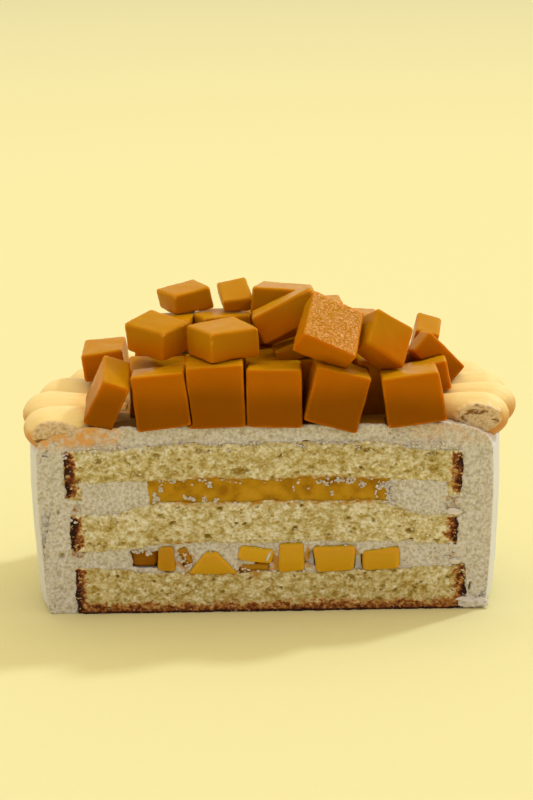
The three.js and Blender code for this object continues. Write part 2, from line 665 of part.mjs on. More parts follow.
const MATERIALS = Object.fromEntries(
  Object.entries(COLOURS).map(([name, color]) => [
    name,
    new THREE.MeshStandardMaterial({ name, color, roughness: 0.6, metalness: 0 }),
  ]),
);
MATERIALS.mango.roughness = 0.3;
MATERIALS.pieces.roughness = 0.3;
MATERIALS.curd.roughness = 0.35;
MATERIALS.sponge.roughness = 0.95;

const cake = new THREE.Group();
cake.name = "mango_passion_fruit_cake";

function addPiece(name, geometry, material) {
  const mesh = new THREE.Mesh(geometry, material);
  mesh.name = name;
  cake.add(mesh);
}

SPONGES.forEach(({ name }, i) => addPiece(name, geometryFromSolid(sponges[i]), MATERIALS.sponge));
addPiece("curd", geometryFromSolid(makeCurd()), MATERIALS.curd);
addPiece("cream_upper", geometryFromSolid(makeUpperCream()), MATERIALS.cream);
addPiece("cream_lower", geometryFromSolid(makeLowerCream()), MATERIALS.cream);
addPiece("cream_coat", geometryFromSolid(makeCoat()), MATERIALS.cream);
fillingPieces.forEach((solid, i) =>
  addPiece(`filling_mango_${i + 1}`, geometryFromSolid(solid), MATERIALS.pieces),
);
addPiece("piped_border", geometryFromSolid(makeBorder()), MATERIALS.border);
mangoPieces.forEach(({ solid }, i) =>
  addPiece(`mango_${String(i + 1).padStart(2, "0")}`, geometryFromSolid(solid), MATERIALS.mango),
);

export default cake;
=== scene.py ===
"""Mango passion fruit cake, cut in half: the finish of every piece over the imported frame.

Each sponge, cream, curd, drop and piece of mango is modelled over its own solid, where that solid
lies. Sizes in the classes are millimetres, and Blender's own units are metres.
"""

from __future__ import annotations

import logging
import math
import random
import sys
from contextlib import contextmanager
from dataclasses import dataclass, field
from enum import Enum
from typing import Any, Callable, Iterator

import bpy
import numpy as np
from mathutils import Matrix, Vector, noise
from mathutils.kdtree import KDTree

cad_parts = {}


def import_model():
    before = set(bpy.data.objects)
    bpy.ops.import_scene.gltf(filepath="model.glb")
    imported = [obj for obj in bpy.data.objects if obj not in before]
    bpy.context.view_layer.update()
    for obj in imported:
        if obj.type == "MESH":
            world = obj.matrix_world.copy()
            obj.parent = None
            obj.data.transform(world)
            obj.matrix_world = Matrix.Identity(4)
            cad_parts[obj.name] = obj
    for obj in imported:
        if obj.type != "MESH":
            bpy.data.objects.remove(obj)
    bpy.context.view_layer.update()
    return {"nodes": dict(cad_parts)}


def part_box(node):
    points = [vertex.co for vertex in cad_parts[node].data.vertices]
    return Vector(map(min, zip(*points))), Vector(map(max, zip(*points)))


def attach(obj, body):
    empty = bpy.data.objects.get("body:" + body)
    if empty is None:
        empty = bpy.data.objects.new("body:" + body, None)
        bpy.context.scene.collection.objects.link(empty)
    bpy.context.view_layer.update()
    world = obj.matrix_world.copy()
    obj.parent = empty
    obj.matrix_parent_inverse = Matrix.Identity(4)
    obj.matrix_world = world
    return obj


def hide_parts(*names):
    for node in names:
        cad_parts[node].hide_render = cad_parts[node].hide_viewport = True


MM = 0.001
CUT_Y = -25.0  # the plane of the cut
WELD = 0.005  # vertices closer than this are one
WALL_STEEPNESS = 2.4  # how thin the walls of the crumb are
DEEP_BUBBLE = 1.2  # a bubble this deep gets the deepest painted shade
BODY = "root"

Piece = bpy.types.Object
Nodes = dict[str, Piece]  # the frame's CAD nodes by name
Tree = bpy.types.NodeTree
Node = bpy.types.Node
Triple = tuple[float, float, float]

log = logging.getLogger("cake")


class Slot(Enum):
    """The material slots."""

    SPONGE = "sponge"
    CURD = "fruit_curd"
    CREAM = "cream"
    BORDER = "border_cream"
    MANGO = "mango"


# Small tools


def linear(code: str) -> tuple[float, float, float, float]:
    """Turns an sRGB hex value into a linear colour.

    Args:
        code: six hex digits, with or without a leading hash.

    Returns:
        Red, green, blue and an alpha of 1.
    """
    code = code.lstrip("#")
    parts = [int(code[i : i + 2], 16) / 255 for i in (0, 2, 4)]
    red, green, blue = (c / 12.92 if c <= 0.04045 else ((c + 0.055) / 1.055) ** 2.4 for c in parts)
    return red, green, blue, 1.0


def smoothstep(values: Any, low: float, high: float) -> Any:
    """Eases values from 0 at low to 1 at high.

    Args:
        values: a number or an array.
        low: where the result is 0.
        high: where the result is 1. It may be the smaller of the two.

    Returns:
        The eased values, in the form of the input.
    """
    share = np.clip((np.asarray(values, float) - low) / (high - low), 0, 1)
    return share * share * (3 - 2 * share)


def direction(degrees: float) -> tuple[float, float]:
    """The cosine and the sine of an angle."""
    return math.cos(math.radians(degrees)), math.sin(math.radians(degrees))


def seeded_source(seed: int) -> Callable[[], float]:
    """Makes a source of numbers from 0 to 1, the same in every run.

    Args:
        seed: where it starts.

    Returns:
        A function that gives the next number.
    """
    state = seed
    mask = 0xFFFFFFFF

    def draw() -> float:
        """The next number."""
        nonlocal state
        state = (state + 0x6D2B79F5) & mask
        mixed = (state ^ (state >> 15)) * (state | 1) & mask
        mixed ^= mixed + ((mixed ^ (mixed >> 7)) * (mixed | 61) & mask) & mask
        return ((mixed ^ (mixed >> 14)) & mask) / 2**32

    return draw


def select_only(piece: Piece) -> None:
    """Selects one object and makes it the active one."""
    bpy.ops.object.select_all(action="DESELECT")
    piece.select_set(True)
    bpy.context.view_layer.objects.active = piece


@contextmanager
def editing(piece: Piece) -> Iterator[None]:
    """Edits a piece's mesh with all of it selected, and leaves edit mode at the end."""
    select_only(piece)
    bpy.ops.object.mode_set(mode="EDIT")
    bpy.ops.mesh.select_all(action="SELECT")
    yield
    bpy.ops.object.mode_set(mode="OBJECT")


def apply_modifier(piece: Piece, kind: str, **settings: Any) -> None:
    """Adds a modifier and applies it.

    Args:
        piece: the object to change.
        kind: the modifier's type, such as "REMESH".
        settings: the modifier's properties.
    """
    select_only(piece)
    modifier = piece.modifiers.new(kind.title(), kind)
    for name, value in settings.items():
        setattr(modifier, name, value)
    bpy.ops.object.modifier_apply(modifier=modifier.name)


def copy_of_node(node: Piece, name: str) -> Piece:
    """Copies a CAD node's mesh to a new object and merges its loose triangles.

    Args:
        node: the CAD node's object.
        name: the new object's name.

    Returns:
        The new object, at the origin, with no material.
    """
    mesh = node.data.copy()
    mesh.name = name
    mesh.materials.clear()
    piece = bpy.data.objects.new(name, mesh)
    bpy.context.scene.collection.objects.link(piece)
    with editing(piece):
        bpy.ops.mesh.remove_doubles(threshold=WELD * MM)
    return piece


def join_pieces(pieces: list[Piece], name: str) -> Piece:
    """Joins objects into the first of them and names it.

    Args:
        pieces: the objects, in order.
        name: the joined object's name.

    Returns:
        The joined object.
    """
    select_only(pieces[0])
    for piece in pieces[1:]:
        piece.select_set(True)
    bpy.ops.object.join()
    pieces[0].name = pieces[0].data.name = name
    return pieces[0]


def points_of(piece: Piece) -> np.ndarray:
    """The piece's vertices as rows of x, y, z in millimetres."""
    flat = np.zeros(len(piece.data.vertices) * 3)
    piece.data.vertices.foreach_get("co", flat)
    return flat.reshape(-1, 3) / MM


def normals_of(piece: Piece) -> np.ndarray:
    """The piece's vertex normals as rows of x, y, z."""
    flat = np.zeros(len(piece.data.vertices) * 3)
    piece.data.vertex_normals.foreach_get("vector", flat)
    return flat.reshape(-1, 3)


def put_points(piece: Piece, points: np.ndarray) -> None:
    """Moves the piece's vertices to rows of x, y, z in millimetres."""
    piece.data.vertices.foreach_set("co", (points * MM).astype(np.float32).ravel())
    piece.data.update()


def store(piece: Piece, name: str, values: np.ndarray) -> None:
    """Keeps one number for each vertex as an attribute that a material reads.

    Args:
        piece: the object to write on.
        name: the attribute's name.
        values: one number for each vertex.
    """
    attribute = piece.data.attributes.new(name, "FLOAT", "POINT")
    attribute.data.foreach_set("value", np.asarray(values, np.float32))


def noise_at(points: np.ndarray, size: Any, octaves: int = 1, shift: float = 0.0) -> np.ndarray:
    """Smooth noise from about -1 to 1 at each point.

    Args:
        points: rows of x, y, z in millimetres.
        size: the width of a bump in millimetres, or one width for each axis.
        octaves: how many finer layers it sums.
        shift: moves the pattern, so that two pieces differ.

    Returns:
        One number for each point.
    """
    scaled = points / np.asarray(size, float) + shift
    return np.array([noise.fractal(Vector(p), 0.9, 2.0, octaves) for p in scaled])


def walls_at(points: np.ndarray, size: Any, shift: float = 0.0) -> np.ndarray:
    """The thin walls of an open crumb: 1 on a wall, falling to 0 in the hollows between them.

    Args:
        points: rows of x, y, z in millimetres.
        size: the width of a hollow in millimetres, or one width for each axis.
        shift: moves the pattern, so that two pieces differ.

    Returns:
        One number for each point.
    """
    return 1 - np.clip(np.abs(noise_at(points, size, 2, shift)) * WALL_STEEPNESS, 0, 1)


def convexity_of(piece: Piece) -> np.ndarray:
    """How far each vertex stands out from its neighbours along its normal, in millimetres."""
    ends = np.zeros(len(piece.data.edges) * 2, int)
    piece.data.edges.foreach_get("vertices", ends)
    first, second = ends.reshape(-1, 2).T
    points = points_of(piece)
    around = np.zeros_like(points)
    count = np.zeros(len(points))
    for one, other in ((first, second), (second, first)):
        np.add.at(around, one, points[other])
        np.add.at(count, one, 1)
    around /= np.maximum(count, 1)[:, None]
    return ((points - around) * normals_of(piece)).sum(1)


def finish_piece(piece: Piece, finish: "Finish", slot: Slot, *nodes: str) -> None:
    """Dresses a piece, puts it on the cake's body and hides the nodes that it replaces.

    Args:
        piece: the finished object.
        finish: the finish that it wears.
        slot: not used.
        nodes: the CAD nodes that it replaces.
    """
    piece.data.materials.clear()
    piece.data.materials.append(finish.material())
    select_only(piece)
    bpy.ops.object.shade_smooth()
    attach(piece, BODY)
    if nodes:
        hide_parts(*nodes)
    log.info("%s: %d faces", piece.name, len(piece.data.polygons))


# Finishes

MIX_FACTOR = 0
MIX_A = 6
MIX_B = 7
MIX_RESULT = 2


def add_node(
    tree: Tree,
    kind: str,
    settings: dict[Any, Any] | None = None,
    links: dict[Any, Any] | None = None,
    stops: list[tuple[float, str]] | None = None,
) -> Node:
    """Adds a shader node.

    Args:
        tree: the material's node tree.
        kind: the node's type without "ShaderNode", such as "TexNoise".
        settings: properties and unlinked inputs, by name or number.
        links: outputs that feed its inputs, by the input's name or number.
        stops: a colour ramp's places and sRGB hex colours.

    Returns:
        The new node.
    """
    made = tree.nodes.new("ShaderNode" + kind)
    for name, value in (settings or {}).items():
        if isinstance(name, str) and hasattr(made, name):
            setattr(made, name, value)
        else:
            made.inputs[name].default_value = value
    for name, output in (links or {}).items():
        tree.links.new(output, made.inputs[name])
    if stops:
        points = made.color_ramp.elements
        while len(points) < len(stops):
            points.new(1.0)
        for point, (place, code) in zip(points, stops):
            point.position = place
            point.color = linear(code)
    return made


@dataclass(frozen=True)
class Finish:
    """A surface's look. Each kind paints its own nodes round one shader."""

    name: str

    def material(self) -> bpy.types.Material:
        """Returns the finish's material, made once and then shared."""
        found = bpy.data.materials.get(self.name)
        if found:
            return found
        made = bpy.data.materials.new(self.name)
        made.use_nodes = True
        shader = made.node_tree.nodes["Principled BSDF"]
        self.paint(made.node_tree, shader)
        return made

    def paint(self, tree: Tree, shader: Node) -> None:
        """Adds the finish's nodes.

        Args:
            tree: the material's node tree.
            shader: its Principled shader.
        """
        raise NotImplementedError

    def place(self, tree: Tree, stretch: Triple) -> Any:
        """Object coordinates, stretched.

        Args:
            tree: the material's node tree.
            stretch: how much longer the pattern is along x, y and z.

        Returns:
            The output to link.
        """
        source = add_node(tree, "TexCoord").outputs["Object"]
        scale = tuple(1 / s for s in stretch)
        return add_node(tree, "Mapping", {"Scale": scale}, {"Vector": source}).outputs["Vector"]

    def value(self, tree: Tree, name: str) -> Any:
        """The output that reads one of the piece's stored values."""
        return add_node(tree, "Attribute", {"attribute_name": name}).outputs["Fac"]

    def product(self, tree: Tree, first: Any, second: Any) -> Any:
        """The output of two outputs multiplied."""
        return add_node(tree, "Math", {"operation": "MULTIPLY"}, {0: first, 1: second}).outputs[0]

    def grain(self, tree: Tree, place: Any, size: float, detail: float = 2) -> Any:
        """Noise whose bumps are about size millimetres wide.

        Args:
            tree: the material's node tree.
            place: the coordinates that it reads.
            size: the width of a bump in millimetres.
            detail: how many finer layers it sums.

        Returns:
            The output to link.
        """
        settings = {"Scale": 0.5 / (size * MM), "Detail": detail, "Roughness": 0.6}
        return add_node(tree, "TexNoise", settings, {"Vector": place}).outputs["Fac"]

    def mixed(self, tree: Tree, factor: Any, low: Any, high: Any) -> Any:
        """Mixes two colours.

        Args:
            tree: the material's node tree.
            factor: the output that mixes them.
            low: the colour at 0, as an output or an sRGB hex value.
            high: the colour at 1, as an output or an sRGB hex value.

        Returns:
            The output to link.
        """
        settings: dict[Any, Any] = {"data_type": "RGBA"}
        links = {MIX_FACTOR: factor}
        for socket, colour in ((MIX_A, low), (MIX_B, high)):
            if isinstance(colour, str):
                settings[socket] = linear(colour)
            else:
                links[socket] = colour
        return add_node(tree, "Mix", settings, links).outputs[MIX_RESULT]

    def shifted(self, tree: Tree, noisy: Any, share: float, base: Any) -> Any:
        """Adds share times noise, taken about its middle of 0.5, to a base number.

        Args:
            tree: the material's node tree.
            noisy: the output that gives the noise from 0 to 1.
            share: how much of it is added.
            base: the output that it is added to.

        Returns:
            The output to link.
        """
        middle = add_node(tree, "Math", {"operation": "SUBTRACT", 1: 0.5}, {0: noisy}).outputs[0]
        settings = {"operation": "MULTIPLY_ADD", 1: share}
        return add_node(tree, "Math", settings, {0: middle, 2: base}).outputs[0]

    def eased(self, tree: Tree, source: Any, low: float, high: float) -> Any:
        """Maps low..high of a number to 0..1, clamped and eased."""
        settings = {"interpolation_type": "SMOOTHSTEP", "From Min": low, "From Max": high}
        return add_node(tree, "MapRange", settings, {"Value": source}).outputs["Result"]

    def relief(self, tree: Tree, shader: Node, height: Any, depth: float) -> None:
        """Bumps the surface.

        Args:
            tree: the material's node tree.
            shader: the shader whose normal it sets.
            height: the output that gives the height from 0 to 1.
            depth: how high 1 stands, in millimetres.
        """
        settings = {"Strength": 1.0, "Distance": depth * MM}
        bump = add_node(tree, "Bump", settings, {"Height": height})
        tree.links.new(bump.outputs["Normal"], shader.inputs["Normal"])


@dataclass(frozen=True)
class SpongeFinish(Finish):
    """Baked egg sponge: an open, matt, pale crumb with painted shade, a deeper yellow, in its
    hollows.

    Its baked side is a grainy crust from tan to nearly black.
    """

    name: str = "Baked egg sponge"
    wall: str = "#e6dec6"
    crumb: str = "#cdbd8c"
    # painted shade in the crumb's hollows and deep bubbles
    hollow: str = "#af9854"
    bubble: str = "#8f6c12"
    juice: str = "#b27c12"
    # painted highlight specks on the crust
    gleam: str = "#e2c4a4"
    # from the faintest crust to the darkest
    crust: tuple[tuple[float, str], ...] = (
        (0.14, "#cda76c"),
        (0.34, "#ae7a3a"),
        (0.52, "#864a1a"),
        (0.72, "#57280c"),
        (0.94, "#2a1108"),
    )
    grain_size: float = 0.42
    lump_size: float = 0.95
    patch_size: float = 6.0
    crust_grain: float = 0.6
    depth: float = 0.32

    def paint(self, tree: Tree, shader: Node) -> None:
        """Paints crumb, painted shade in the hollows, soaked edges and crust."""
        place = self.place(tree, (1.3, 1, 1))
        fine = self.grain(tree, place, self.grain_size, 3)
        pore = self.value(tree, "pore")
        lumps = self.grain(tree, place, self.lump_size, 3)
        tone = self.shifted(tree, fine, 0.95, pore)
        tone = self.shifted(tree, lumps, 1.0, tone)
        tone = self.shifted(tree, self.grain(tree, place, self.patch_size, 1), 0.3, tone)
        stops = [(0.0, self.wall), (0.28, self.crumb), (0.58, self.hollow), (0.95, self.bubble)]
        body = add_node(tree, "ValToRGB", links={"Fac": tone}, stops=stops).outputs["Color"]
        soaked = self.value(tree, "soaked")
        body = self.mixed(tree, soaked, body, self.juice)

        crust = self.value(tree, "crust")
        speck = self.grain(tree, place, self.crust_grain, 4)
        spread = self.shifted(tree, speck, 1.7, crust)
        stops = list(self.crust)
        baked = add_node(tree, "ValToRGB", links={"Fac": spread}, stops=stops).outputs["Color"]
        bright = self.eased(tree, self.grain(tree, place, self.crust_grain * 0.7, 2), 0.63, 0.76)
        baked = self.mixed(tree, bright, baked, self.gleam)
        ragged = self.eased(tree, self.shifted(tree, speck, 1.2, crust), 0.08, 0.34)
        held = self.eased(tree, crust, 0.02, 0.12)
        colour = self.mixed(tree, self.product(tree, ragged, held), body, baked)
        tree.links.new(colour, shader.inputs["Base Color"])
        shader.inputs["Roughness"].default_value = 0.9
        shader.inputs["Specular IOR Level"].default_value = 0.25
        shader.inputs["Subsurface Weight"].default_value = 0.25
        shader.inputs["Subsurface Radius"].default_value = (1.0, 0.7, 0.35)
        shader.inputs["Subsurface Scale"].default_value = 0.8 * MM
        self.relief(tree, shader, lumps, self.depth)


@dataclass(frozen=True)
class CreamFinish(Finish):
    """Whipped cream: satin white where a palette knife smoothed it, beige and pitted where cut."""

    name: str = "Whipped cream"
    smooth: str = "#d8d6d3"
    cut: str = "#cac1b4"
    shade: str = "#b3a88e"
    light: str = "#dad4ca"
    # random specks, and painted shade in pits and low places
    pit: str = "#9a8034"
    peach: str = "#dda156"
    juice: str = "#b8801c"
    grain_size: float = 0.5
    speck_size: float = 0.5
    depth: float = 0.2

    def paint(self, tree: Tree, shader: Node) -> None:
        """Paints smooth and cut cream, random specks with painted shade in its pits and low
        places, the peach tint by the border, and juice.
        """
        place = self.place(tree, (1, 1, 1))
        fine = self.grain(tree, place, self.grain_size, 3)
        stops = [(0.36, self.shade), (0.48, self.cut), (0.62, self.light)]
        inside = add_node(tree, "ValToRGB", links={"Fac": fine}, stops=stops).outputs["Color"]
        pore = self.value(tree, "pore")
        speck = self.shifted(tree, self.grain(tree, place, self.speck_size, 1), 2.0, pore)
        inside = self.mixed(tree, self.eased(tree, speck, 0.4, 1.1), inside, self.pit)
        cut = self.value(tree, "cut")
        colour = self.mixed(tree, cut, self.smooth, inside)
        peach = self.value(tree, "peach")
        colour = self.mixed(tree, peach, colour, self.peach)
        juice = self.value(tree, "juice")
        colour = self.mixed(tree, juice, colour, self.juice)
        tree.links.new(colour, shader.inputs["Base Color"])
        shader.inputs["Roughness"].default_value = 0.62
        shader.inputs["Specular IOR Level"].default_value = 0.35
        shader.inputs["Subsurface Weight"].default_value = 0.35
        shader.inputs["Subsurface Radius"].default_value = (1.0, 0.85, 0.6)
        shader.inputs["Subsurface Scale"].default_value = 1.5 * MM
        self.relief(tree, shader, fine, self.depth)


@dataclass(frozen=True)
class BorderFinish(Finish):
    """Piped peach cream: smooth and satin, with painted light on its crests, painted shade in its
    creases, and the nozzle's fine lines.
    """

    name: str = "Piped peach cream"
    # painted light on faces that look up, painted shade down the sides and in the creases
    crest: str = "#ecce8a"
    flank_shade: str = "#d49e55"
    crease_shade: str = "#c4843e"
    section: str = "#dabf98"
    crumbly: str = "#b89a66"
    # painted shade in the cracks of the cut ends
    crack: str = "#8a5c10"
    juice: str = "#e8a042"
    depth: float = 0.05

    def paint(self, tree: Tree, shader: Node) -> None:
        """Paints painted light on the crests, painted shade in the creases, the cut ends with
        painted shade in their cracks, and the juice by the fruit.
        """
        place = self.place(tree, (1, 1, 1))
        crest = self.value(tree, "crest")
        stops = [(0.0, self.crease_shade), (0.35, self.flank_shade), (0.85, self.crest)]
        colour = add_node(tree, "ValToRGB", links={"Fac": crest}, stops=stops).outputs["Color"]
        cut = self.value(tree, "cut")
        fine = self.grain(tree, place, 0.45, 3)
        section = self.mixed(tree, self.eased(tree, fine, 0.4, 0.66), self.section, self.crumbly)
        colour = self.mixed(tree, cut, colour, section)
        pore = self.value(tree, "pore")
        stretched = self.place(tree, (3.0, 1, 1))
        crack = self.shifted(tree, self.grain(tree, stretched, 0.45, 2), 3.0, pore)
        held = self.eased(tree, pore, 0.03, 0.2)
        split = self.eased(tree, crack, 0.5, 0.75)
        colour = self.mixed(tree, self.product(tree, split, held), colour, self.crack)
        juice = self.value(tree, "juice")
        colour = self.mixed(tree, juice, colour, self.juice)
        tree.links.new(colour, shader.inputs["Base Color"])
        shader.inputs["Roughness"].default_value = 0.55
        shader.inputs["Specular IOR Level"].default_value = 0.35
        shader.inputs["Subsurface Weight"].default_value = 0.4
        shader.inputs["Subsurface Radius"].default_value = (1.0, 0.6, 0.3)
        shader.inputs["Subsurface Scale"].default_value = 2.5 * MM
        self.relief(tree, shader, self.grain(tree, place, 0.6, 2), self.depth)


@dataclass(frozen=True)
class CurdFinish(Finish):
    """Passion fruit curd: set, glossy and a little clear, golden to amber."""

    name: str = "Passion fruit curd"
    light: str = "#c69624"
    body: str = "#b88812"
    deep: str = "#9e6d0a"
    # painted shade in the bubbles
    bubble: str = "#7d4405"
    cloud_size: float = 3.0

    def paint(self, tree: Tree, shader: Node) -> None:
        """Paints the curd's faint clouds, painted shade in its bubbles, and its soft gloss."""
        place = self.place(tree, (1, 1, 1))
        cloud = self.grain(tree, place, self.cloud_size, 4)
        stops = [(0.36, self.deep), (0.5, self.body), (0.66, self.light)]
        colour = add_node(tree, "ValToRGB", links={"Fac": cloud}, stops=stops).outputs["Color"]
        pore = self.value(tree, "pore")
        colour = self.mixed(tree, pore, colour, self.bubble)
        tree.links.new(colour, shader.inputs["Base Color"])
        shader.inputs["Roughness"].default_value = 0.38
        shader.inputs["Specular IOR Level"].default_value = 0.06
        shader.inputs["Subsurface Weight"].default_value = 0.6
        shader.inputs["Subsurface Radius"].default_value = (1.0, 0.4, 0.05)
        shader.inputs["Subsurface Scale"].default_value = 3.0 * MM
        self.relief(tree, shader, self.grain(tree, place, 0.7, 2), 0.05)


@dataclass(frozen=True)
class MangoFinish(Finish):
    """Ripe mango flesh in wet, clean-cut pieces: clear amber, deep in painted shade and paler in
    painted light.
    """

    name: str = "Ripe mango flesh"
    # painted light on the flesh: deep in painted shade, then body, paler in painted light, and a
    # painted highlight on the edges
    deep: str = "#945401"
    body: str = "#bc6c02"
    painted_light: str = "#b27a08"
    edge: str = "#dca23a"
    # the colour of darker pieces: their own tone, partly painted shade
    dark: str = "#5c2c02"
    skin: str = "#e6ac70"
    cloud_size: float = 9.0  # wider than half a piece
    cloud_share: float = 0.24
    cut_size: float = 1.6  # the fine waviness of a knife's cut
    skin_grain: float = 0.36
    glow: float = 3.0

    def paint(self, tree: Tree, shader: Node) -> None:
        """Paints painted light and shade and faint clouds in the flesh, darker pieces and the
        grainy skin side.
        """
        place = self.place(tree, (1, 1, 1))
        painted_light = self.value(tree, "painted_light")
        cloud = self.grain(tree, place, self.cloud_size, 2)
        tone = self.shifted(tree, cloud, self.cloud_share, painted_light)
        stops = [(0.0, self.deep), (0.4, self.body), (0.8, self.painted_light), (1.0, self.edge)]
        ramp = add_node(tree, "ValToRGB", links={"Fac": tone}, stops=stops)
        shade = self.value(tree, "shade")
        colour = self.mixed(tree, shade, ramp.outputs["Color"], self.dark)
        speck = self.value(tree, "speck")
        skin = self.eased(tree, self.grain(tree, place, self.skin_grain, 2), 0.38, 0.6)
        colour = self.mixed(tree, self.product(tree, skin, speck), colour, self.skin)
        tree.links.new(colour, shader.inputs["Base Color"])
        shader.inputs["Roughness"].default_value = 0.24
        shader.inputs["Specular IOR Level"].default_value = 0.025
        shader.inputs["Subsurface Weight"].default_value = 1.0
        shader.inputs["Subsurface Radius"].default_value = (1.0, 0.5, 0.08)
        shader.inputs["Subsurface Scale"].default_value = self.glow * MM
        self.relief(tree, shader, self.grain(tree, place, self.cut_size, 2), 0.04)


@dataclass(frozen=True)
class FloorFinish(Finish):
    """Matt pale yellow backdrop paper."""

    name: str = "Pale yellow paper"
    paper: str = "#dfd6a2"
    tooth: str = "#ddd39e"

    def paint(self, tree: Tree, shader: Node) -> None:
        """Paints the paper with a very faint tooth."""
        place = self.place(tree, (1, 1, 1))
        fine = self.grain(tree, place, 0.8, 2)
        colour = self.mixed(tree, fine, self.paper, self.tooth)
        tree.links.new(colour, shader.inputs["Base Color"])
        shader.inputs["Roughness"].default_value = 0.95
        shader.inputs["Specular IOR Level"].default_value = 0.1


# Cut faces


@dataclass(frozen=True)
class Pit:
    """An open bubble in the cut face, or a crack if it is thin.

    Places and sizes are millimetres: x and z of its middle, its length and height, how deep it
    goes, and how many degrees its length is turned up from the level.
    """

    x: float
    z: float
    length: float
    height: float
    depth: float = 1.0
    turn: float = 0.0


@dataclass(frozen=True)
class Bubbles:
    """The many small bubbles of a cut face, drawn by a seeded rule."""

    per_square_cm: float
    length: tuple[float, float]
    flatness: float = 0.65  # height over length
    depth: float = 0.7
    tilt: float = 35.0  # degrees either way

    def scatter(self, low: Vector, high: Vector, seed: int) -> list[Pit]:
        """Draws the bubbles.

        Args:
            low: the lowest corner of the layer's box, in metres.
            high: the highest corner of the layer's box, in metres.
            seed: the seed of the draw.

        Returns:
            The bubbles as pits.
        """
        draw = random.Random(seed)
        x0, x1, z0, z1 = low.x / MM, high.x / MM, low.z / MM, high.z / MM
        count = round(self.per_square_cm * (x1 - x0) * (z1 - z0) / 100)
        small, large = self.length
        found = []
        for _ in range(count):
            length = small + (large - small) * draw.random() ** 3
            height = length * self.flatness * (0.7 + 0.6 * draw.random())
            x, z = draw.uniform(x0, x1), draw.uniform(z0, z1)
            depth = self.depth * (0.5 + draw.random())
            found.append(Pit(x, z, length, height, depth, draw.uniform(-self.tilt, self.tilt)))
        return found


@dataclass(frozen=True)
class Soak:
    """A stretch along a sponge's edge at the cut that took up juice, in millimetres."""

    start: float
    end: float
    at_top: bool
    depth: float

    def strength(self, x: np.ndarray, to_top: np.ndarray, to_bottom: np.ndarray) -> np.ndarray:
        """How much juice there is at each point.

        Args:
            x: the points' x.
            to_top: how far below the layer's top each is.
            to_bottom: how far above its bottom each is.

        Returns:
            From 0 to 1.
        """
        inside = smoothstep(x, self.start, self.start + 3) * smoothstep(x, self.end, self.end - 3)
        return inside * smoothstep(to_top if self.at_top else to_bottom, self.depth, 0.2)


@dataclass
class Face:
    """A layer's vertices while it is shaped, with one entry in each array for each vertex."""

    points: np.ndarray  # rows of x, y, z in millimetres
    normals: np.ndarray  # rows of x, y, z
    at_cut: np.ndarray  # 1 at the cut and 0 behind it
    pore: np.ndarray  # how deep in a bubble it is, from 0 to 1, which the finishes paint as shade

    def noise_at_cut(self, size: Any, octaves: int, shift: float) -> np.ndarray:
        """Smooth noise at the cut and 0 behind it, with the arguments of noise_at."""
        near = np.flatnonzero(self.at_cut > 0)
        found = np.zeros(len(self.points))
        found[near] = noise_at(self.points[near], size, octaves, shift)
        return found


